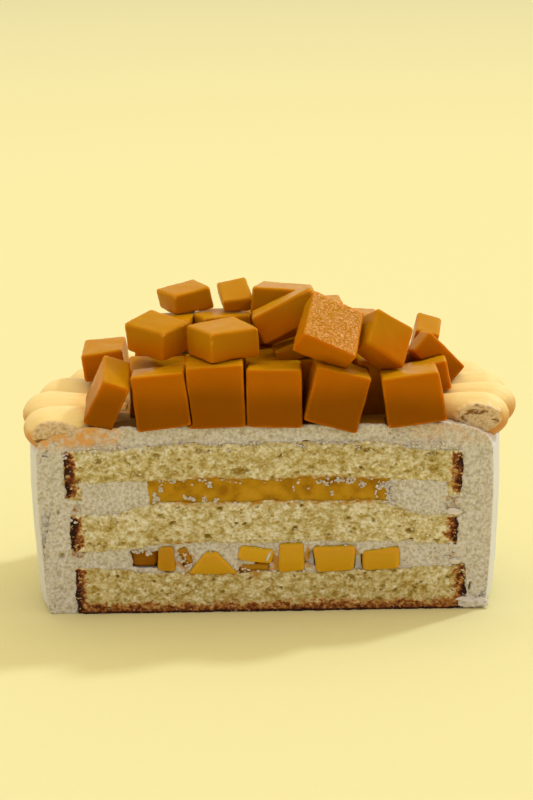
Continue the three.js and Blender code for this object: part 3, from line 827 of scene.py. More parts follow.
@dataclass
class CutLayer:
    """One layer of the cake: smooth behind, and rough where the knife went through."""

    node: str
    name: str
    slot: Slot
    finish: Finish
    seed: int = 0
    voxel: float = 0.36  # the mesh's grid at the cut
    coarse: float = 0.06  # share of the faces that are kept behind the cut
    fine_until: float = -22.2  # y where the fine mesh ends
    front: float = -24.4  # y of the deepest point of the plain cut face
    fade: float = -22.8  # y where the cut's roughness has died out
    spread: float = 0.55  # how far it closes up to its neighbours at the cut
    ragged: float = 0.6  # how uneven its edge is there, in bumps of the size below
    ragged_size: float = 1.9
    least_spread: float = 0.2
    bubbles: tuple[Bubbles, ...] = ()
    pits: tuple[Pit, ...] = ()

    def build(self, nodes: Nodes) -> Piece:
        """Models the layer over its node.

        Args:
            nodes: the frame's CAD nodes.

        Returns:
            The finished piece.
        """
        piece = copy_of_node(nodes[self.node], self.name)
        apply_modifier(piece, "REMESH", mode="VOXEL", voxel_size=self.voxel * MM)
        self.thin_behind(piece)
        points = points_of(piece)
        at_cut = smoothstep(points[:, 1], self.fade, self.front)
        face = Face(points, normals_of(piece), at_cut, np.zeros(len(points)))
        self.close_up(face)
        self.open_pits(face)
        self.roughen(face)
        put_points(piece, face.points)
        store(piece, "pore", face.pore)
        self.mark(piece, face)
        finish_piece(piece, self.finish, self.slot, self.node)
        return piece

    def thin_behind(self, piece: Piece) -> None:
        """Leaves fewer faces behind the cut."""
        bpy.ops.object.mode_set(mode="EDIT")
        bpy.ops.mesh.select_all(action="DESELECT")
        bpy.ops.object.mode_set(mode="OBJECT")
        behind = points_of(piece)[:, 1] > self.fine_until
        piece.data.vertices.foreach_set("select", behind)
        select_only(piece)
        bpy.ops.object.mode_set(mode="EDIT")
        bpy.ops.mesh.select_mode(type="VERT")
        bpy.ops.mesh.decimate(ratio=self.coarse)
        bpy.ops.object.mode_set(mode="OBJECT")

    def close_up(self, face: Face) -> None:
        """Spreads the layer's edges into its neighbours, unevenly, so that no gap shows."""
        uneven = noise_at(face.points, self.ragged_size, 2, self.seed * 3.7)
        out = face.at_cut * np.maximum(self.spread + self.ragged * uneven, self.least_spread)
        for axis in (0, 2):
            face.points[:, axis] += face.normals[:, axis] * out
        face.points[:, 2] = np.maximum(face.points[:, 2], 0.0)

    def open_pits(self, face: Face) -> None:
        """Opens the bubbles and cracks, and marks how deep in them each vertex is, for painted
        shade.
        """
        low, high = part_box(self.node)
        pits = list(self.pits)
        for number, kind in enumerate(self.bubbles):
            pits += kind.scatter(low, high, self.seed * 10 + number)
        points = face.points
        near = np.flatnonzero(face.at_cut > 0)
        tree = KDTree(len(near))
        for index in near:
            tree.insert((points[index, 0], 0.0, points[index, 2]), int(index))
        tree.balance()
        depth = np.zeros(len(points))
        for pit in pits:
            cos, sin = direction(pit.turn)
            reach = max(pit.length, pit.height) / 2
            for place, index, _ in tree.find_range((pit.x, 0.0, pit.z), reach):
                dx, dz = place[0] - pit.x, place[2] - pit.z
                along = (dx * cos + dz * sin) / (pit.length / 2)
                across = (dz * cos - dx * sin) / (pit.height / 2)
                inside = 1 - along * along - across * across
                if inside > 0:
                    depth[index] = max(depth[index], pit.depth * inside**0.6)
        points[:, 1] += depth * face.at_cut
        face.pore = np.clip(depth / DEEP_BUBBLE, 0, 1) * face.at_cut

    def edge_distances(self, face: Face, column: float = 0.7) -> tuple[np.ndarray, np.ndarray]:
        """How far below the layer's top and above its bottom each vertex of the cut face lies.

        Args:
            face: the layer's vertices.
            column: the width of the upright columns that it measures in, in millimetres.

        Returns:
            The distances to the top and to the bottom. They mean nothing behind the cut.
        """
        columns = np.round(face.points[:, 0] / column).astype(int)
        columns -= columns.min()
        cut, heights = face.at_cut > 0.9, face.points[:, 2]
        highest = np.full(columns.max() + 1, heights.min())
        lowest = np.full(columns.max() + 1, heights.max())
        np.maximum.at(highest, columns[cut], heights[cut])
        np.minimum.at(lowest, columns[cut], heights[cut])
        return highest[columns] - heights, heights - lowest[columns]

    def roughen(self, face: Face) -> None:
        """Gives the cut face its roughness. Each kind of layer has its own."""

    def mark(self, piece: Piece, face: Face) -> None:
        """Stores what the finish reads besides the bubbles. Each kind of layer has its own."""


@dataclass
class SpongeLayer(CutLayer):
    """A sponge: open crumb at the cut and a baked crust round its side."""

    slot: Slot = Slot.SPONGE
    finish: Finish = field(default_factory=SpongeFinish)
    radius: float = 65.0
    middle_x: float = 0.0
    crust_width: float = 3.6
    dark_edge: float = 1.1  # width of the darkest part of the crust
    base_crust: float = 0.0  # height of the browned base
    crust_end: float = 1.3  # how far the crust fades out below and above the cream
    crust_tone: float = 0.55
    dark_tone: float = 0.4  # added in the darkest part
    base_tone: float = 0.54
    rim_tone: float = 0.5  # added at the very bottom
    crumb_size: tuple[float, float] = (1.9, 0.95)  # of the coarse and the fine crumb
    crumb_stretch: float = 1.3  # how much longer it is along x
    crumb_depth: float = 0.55
    lump: float = 3.4
    lump_depth: float = 0.3
    darker_tone_and_shade: float = 0.07  # how much darker the whole crumb is painted; on the bottom sponge partly painted shade
    hollow_shade_share: float = 0.55  # how much painted shade a hollow gets, of a deep bubble's
    left_darker: float = 0.16  # how much darker the left end's crust is
    soaks: tuple[Soak, ...] = ()
    bubbles: tuple[Bubbles, ...] = (
        Bubbles(11, (0.6, 1.6), 0.62, 0.5),
        Bubbles(2.2, (1.4, 3.0), 0.55, 0.8),
    )

    def roughen(self, face: Face) -> None:
        """Sinks the hollows of the crumb between their walls, and marks them with the bubbles for
        painted shade.
        """
        near = np.flatnonzero(face.at_cut > 0)
        coarse, fine = ((s * self.crumb_stretch, s, s) for s in self.crumb_size)
        hollow = np.zeros(len(face.points))
        fluff = noise_at(face.points[near], coarse, 3, self.seed)
        walls = walls_at(face.points[near], fine, self.seed + 31.7)
        hollow[near] = 0.5 * smoothstep(fluff, -0.4, 0.6) + 0.5 * (1 - walls)
        lumps = face.noise_at_cut(self.lump, 2, self.seed)
        sunk = self.crumb_depth * (hollow - 0.5) + self.lump_depth * lumps
        face.points[:, 1] += face.at_cut * sunk
        open_share = np.clip(hollow * self.hollow_shade_share + self.darker_tone_and_shade, 0, 1)
        face.pore += face.at_cut * open_share * (1 - face.pore)

    def mark(self, piece: Piece, face: Face) -> None:
        """Stores the crust, 1 where it is darkest and 0 in the crumb, and the soaked edges."""
        across, height = face.points[:, 0], face.points[:, 2]
        uneven = noise_at(face.points, 2.0, 3, self.seed + 5)
        from_side = self.radius - np.hypot(across - self.middle_x, face.points[:, 1])
        from_side += 1.3 * uneven
        side = self.crust_tone * smoothstep(from_side, self.crust_width, self.crust_width * 0.4)
        side += self.dark_tone * smoothstep(from_side, self.dark_edge, self.dark_edge * 0.2)
        side *= 1 + self.left_darker * (across < 0)
        to_top, to_bottom = self.edge_distances(face)
        ends = smoothstep(to_top + 0.8 * uneven, 0.0, self.crust_end)
        if self.base_crust:
            base = self.base_tone * smoothstep(height + 1.6 * uneven, self.base_crust, 1.0)
            base += self.rim_tone * smoothstep(height + 0.3 * uneven, 0.9, 0.3)
            side = np.maximum(side * ends, base)
        else:
            ends *= smoothstep(to_bottom + 0.8 * uneven, 0.0, self.crust_end)
            side *= np.where(face.at_cut > 0.5, ends, 1.0)
        store(piece, "crust", np.clip(side, 0, 1))
        soaked = np.zeros(len(face.points))
        blotches = 0.55 + 1.6 * noise_at(face.points, (2.6, 2.0, 1.6), 2, self.seed + 9)
        for soak in self.soaks:
            soaked = np.maximum(soaked, soak.strength(across, to_top, to_bottom))
        store(piece, "soaked", np.clip(soaked * blotches, 0, 1) * face.at_cut)


@dataclass
class CreamLayer(CutLayer):
    """Cream between two sponges, dragged a little by the knife."""

    slot: Slot = Slot.CREAM
    finish: Finish = field(default_factory=CreamFinish)
    drag: Triple = (1.0, 1.0, 0.9)  # the size of its unevenness
    drag_depth: float = 0.24
    swell: float = 5.0
    swell_depth: float = 0.22
    dent_depth: float = 0.16  # a dent this deep gets the deepest painted shade
    dent_shade_share: float = 0.35  # how much painted shade that is, of a deep bubble's
    bubbles: tuple[Bubbles, ...] = (Bubbles(9, (0.5, 1.2), 1.2, 0.4),)
    stains: tuple[Pit, ...] = ()  # where juice from the fruit ran

    def roughen(self, face: Face) -> None:
        """Drags and swells the cut face, and marks each dent for painted shade."""
        relief = self.drag_depth * face.noise_at_cut(self.drag, 3, self.seed)
        relief += self.swell_depth * face.noise_at_cut(self.swell, 1, self.seed + 3)
        face.points[:, 1] += face.at_cut * relief
        dent_shade = smoothstep(relief, 0.0, self.dent_depth) * self.dent_shade_share
        face.pore += face.at_cut * dent_shade * (1 - face.pore)

    def mark(self, piece: Piece, face: Face) -> None:
        """Stores where it is cut, and where juice ran into it."""
        store(piece, "cut", face.at_cut)
        tint = np.zeros(len(face.points))
        uneven = 0.5 * noise_at(face.points, 1.6, 2, self.seed)
        for stain in self.stains:
            along = (face.points[:, 0] - stain.x) / (stain.length / 2)
            across = (face.points[:, 2] - stain.z) / (stain.height / 2)
            tint = np.maximum(tint, smoothstep(np.hypot(along, across) + uneven, 1.1, 0.4))
        store(piece, "peach", np.zeros(len(face.points)))
        store(piece, "juice", tint * face.at_cut)


@dataclass
class CurdLayer(CutLayer):
    """The band of curd, nearly smooth at the cut."""

    slot: Slot = Slot.CURD
    finish: Finish = field(default_factory=CurdFinish)
    spread: float = 0.35
    ragged: float = 0.5
    swell: float = 4.0
    swell_depth: float = 0.14
    bubbles: tuple[Bubbles, ...] = (Bubbles(4, (0.5, 1.2), 0.8, 0.25),)

    def roughen(self, face: Face) -> None:
        """Swells the cut face a little."""
        swell = face.noise_at_cut(self.swell, 2, self.seed)
        face.points[:, 1] += face.at_cut * self.swell_depth * swell


@dataclass
class CoatLayer(CreamLayer):
    """The cream round and over the cake: cut in front, smoothed with a palette knife outside."""

    coarse: float = 0.12
    radius: float = 75.0
    # height and how far the wall stands inside the radius there
    profile: tuple[tuple[float, float], ...] = (
        (0, 3.2),
        (1.4, 2.2),
        (6, 1.6),
        (20, 0.7),
        (38, 0),
        (52, 0.2),
        (55.6, 1.7),
    )
    wall_inside: float = 4.0  # vertices this close to the wall belong to it
    # heights where the rounding starts, is full from and to, and ends
    wall_heights: tuple[float, float, float, float] = (1.0, 4.0, 50.0, 55.0)
    knife: tuple[float, float] = (26.0, 4.5)  # length and height of the knife's marks
    knife_depth: float = 0.16
    peach_from: tuple[float, float] = (40.0, 50.0)  # |x| where the tint by the border starts
    peach_above: tuple[float, float] = (52.0, 57.0)
    peach_at_right: float = 0.3
    # juice under the fruit: distance from the middle, y and height
    wet_until: tuple[float, float] = (58.0, 50.0)
    wet_behind: tuple[float, float] = (-24.6, -23.4)
    wet_above: tuple[float, float] = (53.0, 55.5)

    def roughen(self, face: Face) -> None:
        """Rounds the outer wall, marks it with the knife, and drags the cut face."""
        super().roughen(face)
        points, normals = face.points, face.normals
        heights, insets = zip(*self.profile)
        radius = np.hypot(points[:, 0], points[:, 1])
        wall = self.radius - np.interp(points[:, 2], heights, insets)
        outwards = (normals[:, 0] * points[:, 0] + normals[:, 1] * points[:, 1]) / radius
        on_wall = (wall - radius < self.wall_inside) & (outwards > 0.3)
        low, full_from, full_to, high = self.wall_heights
        on_wall &= (points[:, 2] > low) & (points[:, 2] < high)
        turn = np.arctan2(points[:, 1], points[:, 0])
        length, height = self.knife
        place = np.stack([turn * self.radius / length, points[:, 2] / height, turn * 0], 1)
        marks = noise_at(place, 1.0, 2, self.seed)
        fade = smoothstep(points[:, 2], low, full_from) * smoothstep(points[:, 2], high, full_to)
        target = wall + self.knife_depth * marks
        share = np.where(on_wall, fade, 0) * (target / radius - 1)
        points[:, 0] *= 1 + share
        points[:, 1] *= 1 + share * (1 - face.at_cut)

    def mark(self, piece: Piece, face: Face) -> None:
        """Stores where it is cut, the peach tint that the border leaves, and the fruit's juice."""
        across, height = face.points[:, 0], face.points[:, 2]
        radius = np.hypot(across, face.points[:, 1])
        inside = smoothstep(self.radius - radius, 1.0, 3.2)
        front = smoothstep(-face.normals[:, 1], -0.2, 0.5)
        store(piece, "cut", face.at_cut * np.maximum(front, inside))
        patches = 0.65 + 0.9 * noise_at(face.points, 2.6, 3, self.seed)
        outside = smoothstep(np.abs(across), *self.peach_from)
        outside *= np.where(across < 0, 1.0, self.peach_at_right)
        above = smoothstep(height, *self.peach_above)
        store(piece, "peach", np.clip(outside * above * patches, 0, 1))
        wet = smoothstep(radius, *self.wet_until) * smoothstep(face.points[:, 1], *self.wet_behind)
        store(piece, "juice", wet * smoothstep(height, *self.wet_above))


@dataclass(frozen=True)
class Patch:
    """Where crumbs lie on the cut face: its middle, width and height, and how many."""

    x: float
    z: float
    width: float
    height: float
    count: int


@dataclass(frozen=True)
class Fleck:
    """One smear or lump on the cut face: its middle, length, height and turn."""

    x: float
    z: float
    length: float
    height: float
    turn: float = 0.0
    stands_out: float = 0.4  # how thick it is over its height
    forward: float = 0.15  # how far in front of the cut its middle lies


@dataclass
class Crumbs:
    """Small lumps that the knife left on the cut face, of one food, joined."""

    name: str
    slot: Slot
    finish: Finish
    seed: int
    size: tuple[float, float] = (0.4, 1.0)
    patches: tuple[Patch, ...] = ()
    smears: tuple[Fleck, ...] = ()  # broken up into small lumps
    lumps: tuple[Fleck, ...] = ()  # in one piece each
    per_square_mm: float = 3.2  # how many small lumps a smear has
    detail: int = 2  # how finely a small lump's mesh is divided
    lump_detail: int = 4  # and a larger one's
    flatness: tuple[float, float] = (0.5, 0.9)  # height over length
    tilt: float = 60.0  # degrees either way
    unevenness: float = 0.6
    values: dict[str, float] = field(default_factory=dict)  # what the finish reads

    def build(self) -> Piece:
        """Models the lumps.

        Returns:
            The finished piece.
        """
        bpy.ops.object.select_all(action="DESELECT")
        made = []
        kinds = ((self.detail, self.scatter()), (self.lump_detail, list(self.lumps)))
        for detail, places in kinds:
            bpy.ops.mesh.primitive_ico_sphere_add(subdivisions=detail, radius=0.5 * MM)
            pattern = bpy.context.object
            made += [self.place_lump(pattern, len(made) + i, p) for i, p in enumerate(places)]
            bpy.data.objects.remove(pattern)
        piece = join_pieces(made, self.name)
        count = len(piece.data.vertices)
        for name, value in self.values.items():
            store(piece, name, np.full(count, value))
        finish_piece(piece, self.finish, self.slot)
        return piece

    def scatter(self) -> list[Fleck]:
        """Draws the small lumps of the patches and of the smears.

        Returns:
            The lumps.
        """
        draw = random.Random(self.seed)
        small, large = self.size
        places = []
        for patch in self.patches:
            for _ in range(patch.count):
                x = patch.x + patch.width * (draw.random() - 0.5)
                places.append((x, patch.z + patch.height * (draw.random() - 0.5)))
        for smear in self.smears:
            cos, sin = direction(smear.turn)
            for _ in range(max(3, round(self.per_square_mm * smear.length * smear.height))):
                out, way = math.sqrt(draw.random()) / 2, draw.uniform(0, math.tau)
                along = smear.length * out * math.cos(way)
                across = smear.height * out * math.sin(way)
                x = smear.x + along * cos - across * sin
                places.append((x, smear.z + along * sin + across * cos))
        found = []
        for x, z in places:
            length = small + (large - small) * draw.random() ** 2
            height = length * draw.uniform(*self.flatness)
            found.append(Fleck(x, z, length, height, draw.uniform(-self.tilt, self.tilt)))
        return found

    def place_lump(self, pattern: Piece, number: int, fleck: Fleck) -> Piece:
        """Copies the lump, makes it uneven and puts it on the cut face.

        Args:
            pattern: a ball 1 mm across.
            number: a number that no other lump has.
            fleck: its place and size.

        Returns:
            The copy, with its place in its mesh.
        """
        lump = pattern.copy()
        lump.data = pattern.data.copy()
        bpy.context.scene.collection.objects.link(lump)
        points = points_of(lump)
        uneven = noise_at(points, 0.45, 3, number * 1.9 + self.seed)
        points *= (1 + self.unevenness * uneven)[:, None]
        points *= (fleck.length, fleck.height * fleck.stands_out, fleck.height)
        cos, sin = direction(fleck.turn)
        x, z = points[:, 0].copy(), points[:, 2].copy()
        points[:, 0] = fleck.x + x * cos - z * sin
        points[:, 2] = np.maximum(fleck.z + x * sin + z * cos, 0.0)
        points[:, 1] += CUT_Y - fleck.forward
        put_points(lump, points)
        return lump


# Piped border


@dataclass
class PipedBorder:
    """A row of drops piped round the rim, each run into the next, and the two end ones cut."""

    node: str = "piped_border"
    name: str = "piped_peach_border"
    seed: int = 71
    count: int = 16
    first_angle: float = -12.0  # the right end, from +X towards the back
    last_angle: float = 193.0
    crowding: float = 0.2
    overlap: float = 1.2
    tail_radius: float = 45.0
    reach: tuple[float, float] = (77.1, 80.0)  # left and right
    end_shorter: float = 2.0
    crest: tuple[float, float] = (64.9, 67.4)
    height: tuple[float, float] = (13.0, 14.0)
    ball: float = 8.6
    fall: float = 3.6
    narrowing: float = 0.6  # the share of its width that a drop loses towards its tail
    stray: Triple = (0.8, 0.6, 1.6)  # of its reach, its crest and its angle
    sides: int = 28
    ball_rings: int = 9
    body_rings: int = 7
    voxel: float = 0.55
    line_width: float = 1.1  # between the nozzle's drag lines
    line_depth: float = 0.09
    # the right end's cut face: its middle, half its length and height, and its y
    section: tuple[float, float, float, float, float] = (66.4, 60.7, 7.3, 4.8, -21.5)
    section_reach: float = 6.0  # how far behind that face the drop is flattened from
    cut_fade: tuple[float, float] = (1.2, 0.3)  # behind the cut, where its roughness starts
    cut_depth: float = 0.25
    cracks: tuple[Pit, ...] = (
        Pit(66.3, 64.4, 3.0, 1.4, 0.6, -15),
        Pit(66.0, 62.8, 7.0, 1.8, 0.8, -4),
        Pit(62.0, 61.6, 2.8, 1.6, 0.7, 30),
        Pit(61.2, 60.0, 4.2, 1.8, 0.8, -8),
        Pit(71.6, 59.9, 3.0, 1.6, 0.6, 0),
        Pit(65.6, 57.0, 7.0, 1.6, 0.6, 3),
        Pit(-63.0, 57.6, 11.0, 1.8, 0.8, 10),
        Pit(-69.6, 56.4, 5.0, 1.8, 0.8, 6),
        Pit(-57.4, 58.9, 4.0, 1.4, 0.6, 18),
    )

    def rings(self) -> list[Triple]:
        """The drop's rings from its outer end: how far in, how wide, and how far along its body.

        Returns:
            For each ring the way in from the outer end, the share of the full width, and the
            share of the body that lies before it.
        """
        found = []
        for i in range(1, self.ball_rings + 1):
            turn = math.pi / 2 * i / self.ball_rings
            found.append((self.ball * (1 - math.cos(turn)), math.sin(turn), 0.0))
        body = self.mean(self.reach) - self.ball - self.tail_radius
        for i in range(1, self.body_rings + 1):
            along = i / self.body_rings
            width = 1 - self.narrowing * float(smoothstep(along, 0, 1))
            found.append((self.ball + body * along, width, along))
        return found

    @staticmethod
    def mean(pair: tuple[float, float]) -> float:
        """The middle of two sizes."""
        return (pair[0] + pair[1]) / 2

    def model_drop(self) -> Piece:
        """Models one drop, 1 mm wide, 1 mm high and full length, with its outer end at x = 0.

        Returns:
            The drop, lofted ring by ring.
        """
        bpy.ops.object.select_all(action="DESELECT")
        rings = self.rings()
        first = rings[0]
        bpy.ops.mesh.primitive_circle_add(
            vertices=self.sides,
            radius=first[1] / 2 * MM,
            fill_type="NGON",
            location=(-first[0] * MM, 0, 0),
            rotation=(math.pi / 2, 0, math.pi / 2),
        )
        drop = bpy.context.object
        bpy.ops.object.transform_apply(location=True, rotation=True, scale=True)
        with editing(drop):
            before = first
            for ring in rings[1:]:
                step = (-(ring[0] - before[0]) * MM, 0, 0)
                bpy.ops.mesh.extrude_region_move(TRANSFORM_OT_translate={"value": step})
                grow = ring[1] / before[1]
                centre = (-ring[0] * MM, 0, 0)
                bpy.ops.transform.resize(value=(1, grow, grow), center_override=centre)
                before = ring
            bpy.ops.mesh.select_all(action="SELECT")
            bpy.ops.mesh.normals_make_consistent(inside=False)
        return drop

    def build(self, nodes: Nodes) -> Piece:
        """Models the border.

        Args:
            nodes: the frame's CAD nodes.

        Returns:
            The finished piece.
        """
        pattern = self.model_drop()
        draw = seeded_source(self.seed)
        span = self.last_angle - self.first_angle
        drops = []
        for index in range(self.count):
            share = index / (self.count - 1)
            angle = self.first_angle + span * share * (1 - self.crowding * (1 - share))
            step = span / (self.count - 1) * (1 + self.crowding * (2 * share - 1))
            drops.append(self.place_drop(pattern, index, angle, step, draw))
        bpy.data.objects.remove(pattern)
        border = join_pieces(drops, self.name)
        with editing(border):
            bpy.ops.mesh.bisect(
                plane_co=(0, CUT_Y * MM, 0), plane_no=(0, 1, 0), use_fill=True, clear_inner=True
            )
        apply_modifier(border, "REMESH", mode="VOXEL", voxel_size=self.voxel * MM)
        apply_modifier(border, "SMOOTH", factor=0.5, iterations=3)
        self.shape_surface(border)
        self.make_room(border, nodes)
        self.drop_scraps(border)
        self.mark(border)
        finish_piece(border, BorderFinish(), Slot.BORDER, self.node)
        return border

    def place_drop(
        self, pattern: Piece, index: int, angle: float, step: float, draw: Callable[[], float]
    ) -> Piece:
        """Copies the drop to its place on the rim.

        Args:
            pattern: the drop that is copied.
            index: its number, from the right end.
            angle: its direction in degrees.
            step: the angle to the next one in degrees.
            draw: the seeded source of its unevenness.

        Returns:
            The copy, with its place in its mesh.
        """
        left = 0.5 - 0.5 * math.cos(math.radians(angle))
        sides = (self.reach, self.crest, self.height)
        reach, crest, height = (b + (a - b) * left for a, b in sides)
        if index == 0:
            reach -= self.end_shorter
        width = self.overlap * (reach - self.ball) * math.radians(step)
        reach += self.stray[0] * (draw() - 0.5)
        crest += self.stray[1] * (draw() - 0.5)
        angle += self.stray[2] * (draw() - 0.5)
        drop = pattern.copy()
        drop.data = pattern.data.copy()
        bpy.context.scene.collection.objects.link(drop)
        points = points_of(drop)
        body = self.mean(self.reach) - self.ball - self.tail_radius
        along = np.clip((-points[:, 0] - self.ball) / body, 0, 1)
        taper = 1 - self.narrowing * smoothstep(along, 0, 1)
        points[:, 0] += reach
        points[:, 1] *= width
        points[:, 2] *= height
        points[:, 2] += crest - self.fall * along**2 - height / 2 * taper
        cos, sin = direction(angle)
        x, y = points[:, 0].copy(), points[:, 1].copy()
        points[:, 0] = x * cos - y * sin
        points[:, 1] = x * sin + y * cos
        put_points(drop, points)
        return drop

    def shape_surface(self, border: Piece) -> None:
        """Draws the nozzle's lines along the drops and opens the cracks in the cut ends."""
        points, normals = points_of(border), normals_of(border)
        radius = np.hypot(points[:, 0], points[:, 1])
        turn = np.arctan2(points[:, 1], points[:, 0]) * self.reach[0]
        place = np.stack([turn / self.line_width, radius / 14, points[:, 2] / 3], 1)
        lines = noise_at(place, 1.0, 2, 3.3) + 0.6 * noise_at(points, 5.0, 1, 9.1)
        points += normals * (self.line_depth * lines)[:, None]
        points[:, 1] = np.maximum(points[:, 1], CUT_Y)
        behind = points[:, 1] - CUT_Y
        at_cut = smoothstep(behind, *self.cut_fade)
        x, z, half_length, half_height, plane = self.section
        middle = np.hypot((points[:, 0] - x) / half_length, (points[:, 2] - z) / half_height)
        middle += 0.12 * noise_at(points, 1.8, 2, 5.5)
        flat = smoothstep(middle, 1.02, 0.9) * smoothstep(normals[:, 1], -0.15, -0.4)
        flat *= points[:, 1] < plane + self.section_reach
        points[:, 1] += flat * (plane - points[:, 1])
        at_cut = np.maximum(at_cut, flat)
        depth = np.zeros(len(points))
        uneven = 1 + 0.5 * noise_at(points, 1.2, 2, 4.4)
        for crack in self.cracks:
            cos, sin = direction(crack.turn)
            dx, dz = points[:, 0] - crack.x, points[:, 2] - crack.z
            along = (dx * cos + dz * sin) / (crack.length / 2)
            across = (dz * cos - dx * sin + 0.5 * (uneven - 1)) / (crack.height / 2)
            inside = np.clip(1 - along**2 - across**2, 0, 1) ** 0.5
            depth = np.maximum(depth, crack.depth * inside * np.clip(uneven, 0.4, 1.4))
        points[:, 1] += at_cut * depth
        rough = noise_at(points, 1.4, 3, 8.8)
        points[:, 1] += at_cut * self.cut_depth * np.abs(rough)
        put_points(border, points)
        store(border, "pore", np.clip(depth, 0, 1) * at_cut)
        store(border, "cut", at_cut)

    def make_room(self, border: Piece, nodes: Nodes) -> None:
        """Cuts away what the coat and the pieces of mango take.

        Args:
            border: the joined drops.
            nodes: the frame's CAD nodes.
        """
        low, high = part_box(self.node)
        for name, node in nodes.items():
            if name != "cream_coat" and not name.startswith("mango_"):
                continue
            near_low, near_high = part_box(name)
            if all(a < b and c < d for a, b, c, d in zip(near_low, high, low, near_high)):
                cutter = copy_of_node(node, "cutter")
                settings = {"operation": "DIFFERENCE", "solver": "MANIFOLD", "object": cutter}
                apply_modifier(border, "BOOLEAN", **settings)
                bpy.data.objects.remove(cutter)

    def drop_scraps(self, border: Piece) -> None:
        """Keeps the largest connected part."""
        with editing(border):
            bpy.ops.mesh.separate(type="LOOSE")
        parts = sorted(bpy.context.selected_objects, key=lambda o: len(o.data.vertices))
        for part in parts[:-1]:
            if part is not border:
                bpy.data.objects.remove(part)
        if parts[-1] is not border:
            border.data = parts[-1].data
            bpy.data.objects.remove(parts[-1])

    def mark(self, border: Piece) -> None:
        """Stores how much each point faces up, for painted light and shade, and where juice from
        the fruit reached.
        """
        points, normals = points_of(border), normals_of(border)
        radius = np.hypot(points[:, 0], points[:, 1])
        # faces that look up take painted light, the others painted shade
        up = smoothstep(normals[:, 2], -0.5, 0.9)
        store(border, "crest", np.clip(up + 0.15 * noise_at(points, 6.0, 2, 2.2), 0, 1))
        inwards = smoothstep(radius, 63.0, 55.0)
        streaks = 0.5 + 0.5 * noise_at(points, 3.0, 2, 6.6)
        store(border, "juice", np.clip(inwards * streaks, 0, 0.8))


# Mango

# the pieces in the cream are yellower and paler than those on top
FILLING_MANGO = MangoFinish(
    "Pale mango flesh", deep="#b27c08", body="#c9960a", painted_light="#d4a828", dark="#8a4200", glow=2.0
)


